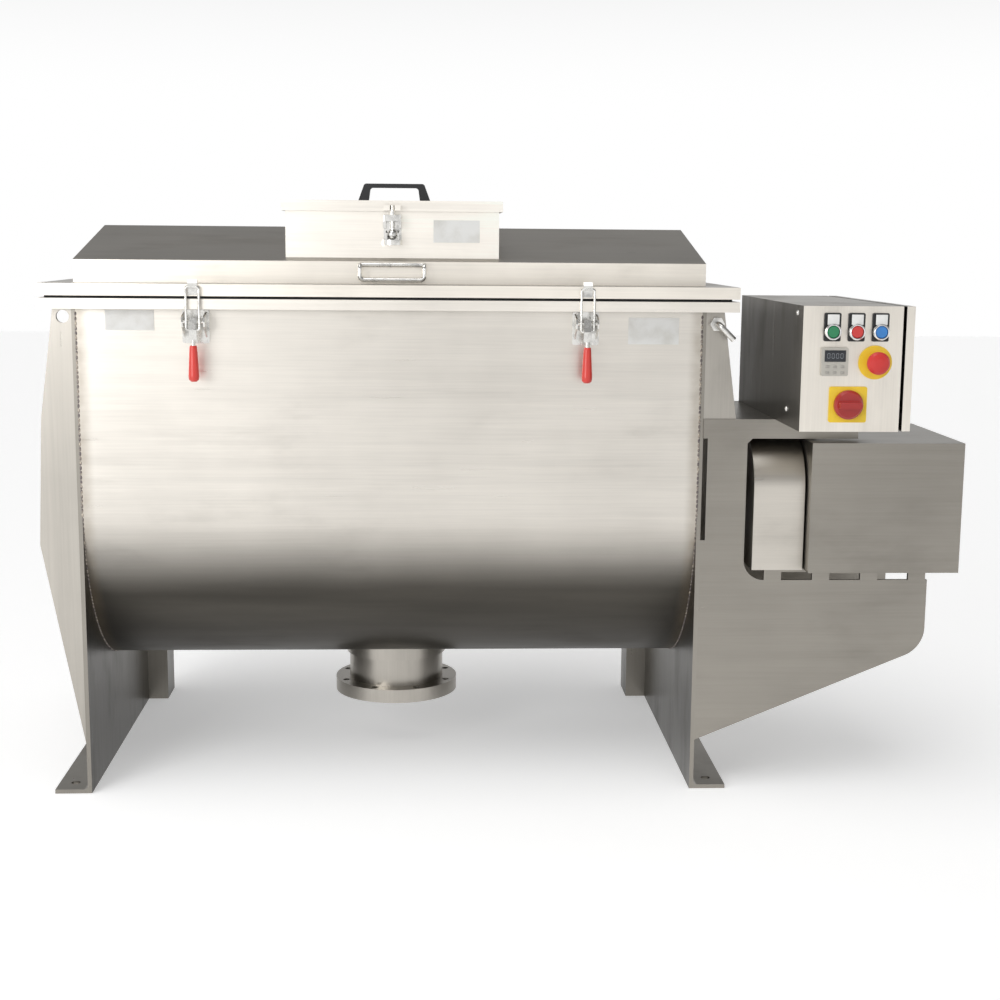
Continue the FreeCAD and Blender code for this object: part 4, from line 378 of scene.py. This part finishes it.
def oiled_steel(name, colour):
    """Chain and sprockets: dark steel with an uneven film of oil."""
    finish = Finish(name)
    film = finish.noise(90.0, 4.0)
    shade = finish.mix(film.between(0.35, 0.7), colour, (0.045, 0.036, 0.026))
    return finish.shade(
        Base_Color=shade, Metallic=0.9, Roughness=film * 0.35 + 0.18, Normal=finish.bump(film, 0.0003, 0.3))


def rubber(name, colour):
    """Dull black rubber, dusted with powder."""
    finish = Finish(name)
    powder = finish.noise(34.0, 5.0)
    pores = finish.noise(700.0, 1.0)
    shade = finish.mix(powder.between(0.5, 0.8), colour, (0.075, 0.072, 0.068))
    return finish.shade(
        Base_Color=shade, Roughness=powder * 0.2 + 0.62, Normal=finish.bump(pores, 0.0002, 0.4))


def moulded(name, colour, roughness=0.35, grain=0.25, coat=0.0):
    """Moulded plastic: faint flow marks, fine texture and a little dirt in places."""
    finish = Finish(name)
    flow = finish.noise(38.0, 3.0)
    texture = finish.noise(900.0, 1.0)
    dirt = finish.noise(16.0, 5.0).between(0.56, 0.80)
    pale = tuple(min(1.0, 1.10 * c + 0.004) for c in colour)
    shade = finish.mix(flow, tinted(colour, 0.88), pale)
    shade = finish.mix(dirt * 0.35, shade, tuple(0.5 * c + 0.02 for c in colour))
    return finish.shade(
        Base_Color=shade, Roughness=flow * 0.12 + dirt * 0.15 + roughness, Coat_Weight=coat,
        Coat_Roughness=0.12, Normal=finish.bump(texture, 0.0001, grain))


def screen_glass(name):
    """Dark display window."""
    finish = Finish(name)
    smear = finish.noise(70.0, 3.0)
    shade = finish.mix(smear, (0.010, 0.012, 0.016), (0.030, 0.034, 0.042))
    return finish.shade(Base_Color=shade, Roughness=smear * 0.12 + 0.06)


def weld_metal(name):
    """Weld beads: bright steel with straw and blue heat tints."""
    finish = Finish(name)
    tint = finish.noise(120.0, 3.0)
    shade = finish.mix(tint.between(0.3, 0.6), (0.50, 0.44, 0.36), (0.17, 0.15, 0.15))
    return finish.shade(
        Base_Color=shade, Metallic=1.0, Roughness=tint * 0.25 + 0.28, Normal=finish.bump(tint, 0.0003, 0.4))


def paper_label(name):
    """Blank white film label, a little yellowed and scuffed."""
    finish = Finish(name)
    age = finish.noise(24.0, 4.0)
    shade = finish.mix(age.between(0.4, 0.8), (0.84, 0.84, 0.82), (0.70, 0.69, 0.65))
    return finish.shade(Base_Color=shade, Roughness=age * 0.2 + 0.3)


def finish_table():
    """Every finish, and the nodes that carry it."""
    steel = bpy.context.scene.ribbon_steel
    plastic = bpy.context.scene.ribbon_plastic
    # Sheet colours with painted light: bright is a lit copy of the steel, the darkest colour a shaded copy,
    # and soft a painted half-shade between plain and that darkest colour.
    bright = tuple(steel.bright)
    plain = tuple(steel.plain)
    shaded_sheet = tuple(steel.shaded_sheet)
    plain_share = 0.4
    soft = tuple(plain_share * a + (1 - plain_share) * b for a, b in zip(plain, shaded_sheet))
    # front paints a highlight on faces that look to the front; inside paints shade on faces that look in
    # towards the middle.
    return [
        (trough_steel(), ["trough_shell"]),
        (sheet_steel("lid_sheet", plain, "X", front=2.0), ["lid_panel"]),
        (sheet_steel("rim_sheet", bright, "X", 0.5, front=1.2), ["trough_rim"]),
        (sheet_steel("hatch_sheet", bright, "X", 0.4, front=1.4), ["hatch_curb", "hatch_cover"]),
        (sheet_steel("end_sheet", soft, "Z", inside=0.28), [
            "left_end_plate", "right_end_plate", "rear_posts"]),
        (sheet_steel("gusset_sheet", plain, "Z", inside=0.5), ["end_gussets"]),
        (sheet_steel("bracket_sheet", soft, "X"), [
            "drive_bracket_front", "drive_bracket_rear", "motor_base", "bearing_brackets"]),
        (sheet_steel("cover_sheet", soft, "X"), ["motor_cover", "control_shelf"]),
        (sheet_steel("guard_sheet", plain, "X", front=1.3), ["chain_guard", "chain_guard_cover"]),
        (sheet_steel("cabinet_sheet", plain, "Z", front=1.75, inside=0.25), [
            "control_cabinet", "cabinet_door"]),
        (sheet_steel("outlet_steel", plain, "Z", 0.6), ["discharge_spout", "shaft_seal_housings"]),
        (sheet_steel("agitator_steel", plain, "X"), [
            "main_shaft", "outer_ribbons", "inner_ribbons", "ribbon_arms"]),
        (polished_steel("fitting_steel"), [
            "lid_handle", "clamp_bases", "clamp_keepers", "left_clamp_handle", "right_clamp_handle",
            "left_clamp_bail", "right_clamp_bail", "hatch_latch_base", "hatch_latch_lever", "purge_fitting",
            "housing_bolts", "output_shaft"]),
        (sheet_steel("hinge_steel", plain, "X"), ["lid_hinge_ears", "lid_hinge_leaves"]),
        (oiled_steel("chain_steel", (0.16, 0.15, 0.14)), [
            "drive_chain", "driven_sprocket", "motor_sprocket"]),
        (enamel("grey_enamel", (0.10, 0.13, 0.16)), ["gear_reducer", "drive_motor", "shaft_bearings"]),
        (rubber("seal_rubber", (0.020, 0.020, 0.021)), ["lid_gasket", "hatch_gasket"]),
        (moulded("grip_vinyl", tuple(plastic.grip), 0.26, 0.15, 0.3), [
            "left_clamp_grip", "right_clamp_grip"]),
        (moulded("black_moulding", (0.018, 0.019, 0.021), 0.42, 0.5), [
            "hatch_handle", "button_holders"]),
        (moulded("grey_moulding", (0.52, 0.50, 0.45), 0.40, 0.3), ["speed_display"]),
        (moulded("green_cap", tuple(plastic.green), 0.2, 0.05, 0.4), ["green_button"]),
        (moulded("red_cap", tuple(plastic.stop), 0.2, 0.05, 0.4), ["red_button"]),
        (moulded("blue_cap", tuple(plastic.blue), 0.2, 0.05, 0.4), ["blue_button"]),
        (moulded("stop_cap", tuple(plastic.stop), 0.34, 0.2, 0.1), ["estop_button"]),
        (moulded("switch_red", tinted(plastic.stop, 0.62), 0.28, 0.2, 0.2), ["main_switch_knob"]),
        (moulded("yellow_plate", tuple(plastic.yellow), 0.38, 0.1), ["estop_ring", "switch_plate"]),
    ]


# ---------------------------------------------------------------- modelling helpers

SMOOTH_ANGLE = math.radians(35)


def start(kind, name, **where):
    """Adds one primitive, alone in the selection."""
    bpy.ops.object.select_all(action="DESELECT")
    getattr(bpy.ops.mesh, f"primitive_{kind}_add")(**where)
    piece = bpy.context.object
    piece.name = name
    piece.data.name = name
    return piece


def soften(piece, width, segments=2):
    """Rounds the sharp edges."""
    rounding = piece.modifiers.new("rounding", "BEVEL")
    rounding.width = width
    rounding.segments = segments
    rounding.limit_method = "ANGLE"
    bpy.ops.object.modifier_apply(modifier=rounding.name)


def copies(piece, places):
    """Copies one modelled piece to each matrix and joins the copies into it."""
    shape = piece.data.copy()
    made = []
    for number, place in enumerate(places):
        copy = piece if number == 0 else bpy.data.objects.new(f"{piece.name}_{number}", shape.copy())
        if number:
            bpy.context.collection.objects.link(copy)
        copy.data.transform(place)
        made.append(copy)
    bpy.ops.object.select_all(action="DESELECT")
    for copy in made:
        copy.select_set(True)
    bpy.context.view_layer.objects.active = piece
    if len(made) > 1:
        bpy.ops.object.join()
    return piece


def settle(piece, body, material, smooth=True):
    """Puts the piece's place into its mesh, gives it its finish and its body."""
    bpy.ops.object.select_all(action="DESELECT")
    piece.select_set(True)
    bpy.context.view_layer.objects.active = piece
    bpy.ops.object.transform_apply(location=True, rotation=True, scale=True)
    if smooth:
        bpy.ops.object.shade_smooth_by_angle(angle=SMOOTH_ANGLE)
    piece.data.materials.clear()
    piece.data.materials.append(material)
    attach(piece, body)
    return piece


def paint(material, nodes):
    """Gives CAD nodes a finish."""
    for name in nodes:
        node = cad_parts[name]
        if not node.data.materials:
            node.data.materials.append(material)
        for place in range(len(node.data.materials)):
            node.data.materials[place] = material


FACING = {
    "front": Matrix.Rotation(math.pi / 2, 4, "X"),
    "left": Matrix.Rotation(-math.pi / 2, 4, "Y"),
}


def turned(name, profile, centre, facing, steps):
    """A closed profile of (radius, height) points, spun about its axis and set to face one way."""
    piece = start("circle", name, vertices=len(profile), radius=1)
    for vertex, (radius, height) in zip(piece.data.vertices, profile):
        vertex.co = (radius, 0, height)
    bpy.ops.object.mode_set(mode="EDIT")
    bpy.ops.mesh.select_all(action="SELECT")
    bpy.ops.mesh.spin(steps=steps, angle=2 * math.pi, center=(0, 0, 0), axis=(0, 0, 1))
    bpy.ops.mesh.select_all(action="SELECT")
    bpy.ops.mesh.remove_doubles(threshold=1e-5)
    bpy.ops.mesh.normals_make_consistent(inside=False)
    bpy.ops.object.mode_set(mode="OBJECT")
    piece.data.transform(Matrix.Translation(centre) @ FACING[facing])
    return piece


def plate(name, low, high, rounding, segments=2):
    """A thin plate between two corners with rounded edges."""
    low = Vector(low)
    high = Vector(high)
    piece = start("cube", name, size=1, location=(low + high) / 2, scale=high - low)
    bpy.ops.object.transform_apply(location=True, rotation=True, scale=True)
    soften(piece, rounding, segments)
    return piece


def small_screw(radius):
    """Profile of a domed screw head, a little of it sunk in the sheet."""
    shares = [(0, -0.2), (1, -0.2), (1, 0.16), (0.86, 0.38), (0.55, 0.54), (0, 0.6)]
    return [(out * radius, up * radius) for out, up in shares]


# ---------------------------------------------------------------- sizes of the small pieces, in metres

BEAD_SPACING = 1.06             # distance between weld beads, as a share of their length
SUNK = 0.0002                   # how deep the panel's plates sink in the face behind them

LEGEND_HALF = 0.0105            # half the width of a legend plate
LEGEND_TOP = 0.0025             # from the top of the button holders down to the plate
LEGEND_BOTTOM = 0.0205
LEGEND_RISE = 0.0009
LEGEND_ROUNDING = 0.0012

BEZEL = [(0.0113, 0), (0.0148, 0), (0.0148, 0.0024), (0.0140, 0.0040), (0.0124, 0.0048), (0.0113, 0.0044)]

WINDOW_SIDE = 0.005             # from the sides of the display to its window
WINDOW_TOP = 0.0045
WINDOW_BOTTOM = 0.0245
WINDOW_RISE = 0.0008
WINDOW_ROUNDING = 0.0008

DIGITS = 4
DIGIT_PITCH = 0.0078
DIGIT_RISE = 0.0009
DIGIT_DROP = 0.0145             # from the top of the display to the middle of the figures
DIGIT_HALF = 0.0021             # half the width of a figure, which is twice as high as wide
STROKE = Vector((0.00165, 0.0002, 0.0003))      # half of each side of one stroke
STROKE_ROUNDING = 0.00008

KEY_LOW = (-0.0034, -0.0011, -0.0022)
KEY_HIGH = (0.0034, 0.0003, 0.0022)
KEY_ROUNDING = 0.0006
KEY_COLUMNS = 3
KEY_FIRST = 0.0105              # from the left side of the display to the first column
KEY_PITCH = 0.0135
KEY_ROWS = (0.0065, 0.0165)     # heights above the bottom of the display

# Side screws of the cabinet: distance behind its front, and height from the top or the bottom.
UPPER_SCREW = (0.042, -0.014)
LOWER_SCREW = (0.105, 0.03)

FLOOR_SIZE = 30
FLOOR_DROP = 0.0004             # the floor lies a little under the feet
HORIZON_TOP = 0.08              # up to this height of the sky it is white
GREY_FROM = 0.40                # and from this height it is at its greyest
GREY_SHARE = 0.70


# ---------------------------------------------------------------- operators

class RIBBON_OT_finishes(Operator):
    """Gives every node of the machine its finish"""
    bl_idname = "ribbon.finishes"
    bl_label = "Finishes"

    def execute(self, context):
        painted = set()
        for material, nodes in finish_table():
            paint(material, nodes)
            painted.update(nodes)
        left = sorted(set(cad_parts) - painted)
        if left:
            raise RuntimeError("nodes with no finish: " + ", ".join(left))
        return {"FINISHED"}


class RIBBON_OT_welds(Operator):
    """Weld beads down the seams between the trough and its end plates"""
    bl_idname = "ribbon.welds"
    bl_label = "Seam welds"

    def execute(self, context):
        detail = context.scene.ribbon_detail
        radius = TROUGH_HIGH.y
        pitch = detail.bead_length * BEAD_SPACING
        straight = int((RIM_LOW.z - SHAFT_HEIGHT) / pitch)
        round_the_bottom = int(math.pi * radius / pitch)
        metal = weld_metal("weld_bead_steel")
        for side, name in ((-1, "left_seam_weld"), (1, "right_seam_weld")):
            bead = start("uv_sphere", name, segments=8, ring_count=4, radius=1)
            bead.data.transform(Matrix.Diagonal(
                (detail.bead_width / 2, detail.bead_height, detail.bead_length / 2, 1)))
            x = side * TROUGH_HIGH.x
            places = []
            for front in (-1, 1):
                for step in range(straight):
                    height = SHAFT_HEIGHT + (step + 0.5) * pitch
                    places.append(Matrix.Translation((x, front * radius, height)))
            for step in range(round_the_bottom):
                turn = math.pi * (step + 0.5) / round_the_bottom
                y = -radius * math.cos(turn)
                z = SHAFT_HEIGHT - radius * math.sin(turn)
                places.append(Matrix.Translation((x, y, z)) @ Matrix.Rotation(turn, 4, "X"))
            settle(copies(bead, places), "frame", metal)
        return {"FINISHED"}


class RIBBON_OT_panel(Operator):
    """Legend plates, button rings, display window and keys on the control panel"""
    bl_idname = "ribbon.panel"
    bl_label = "Panel details"

    def execute(self, context):
        holders_low, holders_high = box("button_holders")
        front = holders_low.y
        top = holders_high.z
        white = moulded("legend_white", (0.86, 0.86, 0.84), 0.3, 0.05)
        chrome = polished_steel("bezel_chrome", (0.84, 0.84, 0.84), 0.08)
        for name in ("green", "red", "blue"):
            button = middle(f"{name}_button")
            legend = plate(
                f"{name}_legend", (button.x - LEGEND_HALF, front - LEGEND_RISE, top - LEGEND_BOTTOM),
                (button.x + LEGEND_HALF, front + SUNK, top - LEGEND_TOP), LEGEND_ROUNDING)
            settle(legend, "frame", white)
            bezel = turned(f"{name}_bezel", BEZEL, (button.x, front, button.z), "front", steps=40)
            settle(bezel, "frame", chrome)
        low, high = box("speed_display")
        window = plate(
            "display_window", (low.x + WINDOW_SIDE, low.y - WINDOW_RISE, high.z - WINDOW_BOTTOM),
            (high.x - WINDOW_SIDE, low.y + SUNK, high.z - WINDOW_TOP), WINDOW_ROUNDING)
        settle(window, "frame", screen_glass("display_glass"))
        self.digits(low, high)
        self.keys(low)
        return {"FINISHED"}

    def digits(self, low, high):
        """Four plain figures on the display, each of two flat and four upright strokes."""
        lit = moulded("display_figures", (0.36, 0.39, 0.42), 0.5, 0.0)
        stroke = plate("display_digits", -STROKE, STROKE, STROKE_ROUNDING, 1)
        flat = [(0, up * 2 * DIGIT_HALF) for up in (1, -1)]
        upright = [(side * DIGIT_HALF, up * DIGIT_HALF) for up in (1, -1) for side in (-1, 1)]
        stand = Matrix.Rotation(math.pi / 2, 4, "Y")
        places = []
        for number in range(DIGITS):
            x = (low.x + high.x) / 2 + (number - (DIGITS - 1) / 2) * DIGIT_PITCH
            centre = Matrix.Translation((x, low.y - DIGIT_RISE, high.z - DIGIT_DROP))
            for dx, dz in flat:
                places.append(centre @ Matrix.Translation((dx, 0, dz)))
            for dx, dz in upright:
                places.append(centre @ Matrix.Translation((dx, 0, dz)) @ stand)
        settle(copies(stroke, places), "frame", lit, smooth=False)

    def keys(self, low):
        """Small keys under the display window."""
        key = plate("display_keys", KEY_LOW, KEY_HIGH, KEY_ROUNDING)
        grey = moulded("key_grey", (0.40, 0.385, 0.35), 0.4, 0.1)
        places = [Matrix.Translation((low.x + KEY_FIRST + KEY_PITCH * column, low.y, low.z + row))
                  for column in range(KEY_COLUMNS) for row in KEY_ROWS]
        settle(copies(key, places), "frame", grey)


class RIBBON_OT_cabinet(Operator):
    """Two screws on the left side of the control cabinet"""
    bl_idname = "ribbon.cabinet"
    bl_label = "Cabinet screws"

    def execute(self, context):
        radius = context.scene.ribbon_detail.screw_radius
        low, high = box("control_cabinet")
        metal = polished_steel("screw_steel")
        for name, (back, rise), edge in (
                ("upper_side_screw", UPPER_SCREW, high.z),
                ("lower_side_screw", LOWER_SCREW, low.z)):
            centre = (low.x, low.y + back, edge + rise)
            head = turned(name, small_screw(radius), centre, "left", steps=20)
            settle(head, "frame", metal)
        return {"FINISHED"}


class RIBBON_OT_labels(Operator):
    """Blank labels on the trough and the hatch"""
    bl_idname = "ribbon.labels"
    bl_label = "Blank labels"

    def execute(self, context):
        rise = context.scene.ribbon_detail.label_rise
        film = paper_label("label_film")
        trough_front = TROUGH_LOW.y
        curb_front = box("hatch_curb")[0].y
        curb_middle = middle("hatch_curb").z
        for name, body, front, x, z, width, height in (
                ("left_blank_label", "frame", trough_front, -0.485, RIM_LOW.z - 0.022, 0.090, 0.038),
                ("right_blank_label", "frame", trough_front, 0.492, RIM_LOW.z - 0.037, 0.096, 0.050),
                ("hatch_blank_label", "lid", curb_front, 0.122, curb_middle, 0.088, 0.042)):
            label = plate(name, (x - width / 2, front - rise, z - height / 2),
                          (x + width / 2, front - rise * 0.2, z + height / 2), rise * 0.3, 1)
            settle(label, body, film)
        return {"FINISHED"}


class RIBBON_OT_stage(Operator):
    """Floor, lights and camera"""
    bl_idname = "ribbon.stage"
    bl_label = "Stage"

    def execute(self, context):
        stage = context.scene.ribbon_stage
        self.floor(stage)
        self.world(context)
        self.key_lamp(context, stage)
        self.sky(context, stage)
        self.camera(context, stage)
        context.scene.view_settings.view_transform = "Standard"
        return {"FINISHED"}

    def floor(self, stage):
        """A pale floor that glows a little where it is seen, mirrored or looked at through glass."""
        floor = start("plane", "floor", size=FLOOR_SIZE, location=(0, 0, -FLOOR_DROP))
        finish = Finish("floor_paint")
        mottle = finish.noise(0.8, 3.0)
        tone = finish.mix(mottle, tinted(stage.floor, 0.985), tuple(stage.floor))
        camera, glossy, through = [
            finish.node("ShaderNodeLightPath", output=f"Is {kind} Ray")
            for kind in ("Camera", "Glossy", "Transmission")]
        glow = finish.scaled((1, 1, 1), (camera + glossy + through) * stage.floor_glow)
        floor.data.materials.append(finish.shade(
            Base_Color=tone, Roughness=0.8, Specular_IOR_Level=0.1, Emission_Color=glow,
            Emission_Strength=1.0))

    def world(self, context):
        """A pale studio: white round the horizon, greyer overhead."""
        world = bpy.data.worlds.new("studio")
        context.scene.world = world
        world.use_nodes = True
        tree = world.node_tree
        place = tree.nodes.new("ShaderNodeTexCoord")
        split = tree.nodes.new("ShaderNodeSeparateXYZ")
        tree.links.new(place.outputs["Generated"], split.inputs["Vector"])
        overhead = Field(tree, split.outputs["Z"]).between(HORIZON_TOP, GREY_FROM)
        background = tree.nodes["Background"]
        feed(tree, background.inputs["Strength"], 1.0 - overhead * GREY_SHARE)
        background.inputs["Color"].default_value = (1, 1, 1, 1)

    def key_lamp(self, context, stage):
        """One soft square lamp at the left."""
        light = bpy.data.lights.new("key", "AREA")
        light.size = stage.key_size
        light.energy = stage.key_power
        lamp = bpy.data.objects.new("key", light)
        context.collection.objects.link(lamp)
        lamp.location = stage.key_place
        ahead = Vector(stage.key_target) - Vector(stage.key_place)
        lamp.rotation_euler = ahead.to_track_quat("-Z", "Y").to_euler()

    def sky(self, context, stage):
        """Wide soft light from above."""
        light = bpy.data.lights.new("sky", "SUN")
        light.energy = stage.sky_power
        light.angle = stage.sky_spread
        lamp = bpy.data.objects.new("sky", light)
        context.collection.objects.link(lamp)
        lamp.rotation_euler = Vector(stage.sky_from).to_track_quat("Z", "Y").to_euler()

    def camera(self, context, stage):
        """The camera, yawed, pitched and rolled about its place."""
        camera = bpy.data.objects.new("camera", bpy.data.cameras.new("camera"))
        context.collection.objects.link(camera)
        camera.data.lens = stage.lens
        camera.data.sensor_width = 36
        camera.location = stage.camera_place
        turn = Matrix.Rotation(-stage.yaw, 3, "Z") @ Matrix.Rotation(math.pi / 2 - stage.pitch, 3, "X")
        camera.rotation_euler = (turn @ Matrix.Rotation(stage.roll, 3, "Z")).to_euler()
        context.scene.camera = camera


class RIBBON_PT_panel(Panel):
    """Sidebar panel with the settings and the steps"""
    bl_idname = "RIBBON_PT_panel"
    bl_label = "Ribbon Blender"
    bl_space_type = "VIEW_3D"
    bl_region_type = "UI"
    bl_category = "Ribbon Blender"

    def draw(self, context):
        for group in ("ribbon_steel", "ribbon_plastic", "ribbon_detail", "ribbon_stage"):
            settings = getattr(context.scene, group)
            for name in settings.bl_rna.properties.keys():
                if name not in ("rna_type", "name"):
                    self.layout.prop(settings, name)
        for operator in OPERATORS:
            self.layout.operator(operator.bl_idname)


SETTINGS = {
    "ribbon_steel": SteelSettings,
    "ribbon_plastic": PlasticSettings,
    "ribbon_detail": DetailSettings,
    "ribbon_stage": StageSettings,
}
OPERATORS = (
    RIBBON_OT_finishes, RIBBON_OT_welds, RIBBON_OT_panel, RIBBON_OT_cabinet, RIBBON_OT_labels,
    RIBBON_OT_stage)


def register():
    for kind in tuple(SETTINGS.values()) + OPERATORS + (RIBBON_PT_panel,):
        bpy.utils.register_class(kind)
    for name, kind in SETTINGS.items():
        setattr(bpy.types.Scene, name, PointerProperty(type=kind))


def unregister():
    for name in SETTINGS:
        delattr(bpy.types.Scene, name)
    for kind in (RIBBON_PT_panel,) + OPERATORS[::-1] + tuple(SETTINGS.values())[::-1]:
        bpy.utils.unregister_class(kind)


def main():
    register()
    for operator in OPERATORS:
        getattr(bpy.ops.ribbon, operator.bl_idname.split(".")[1])()


if __name__ == "__main__":
    main()
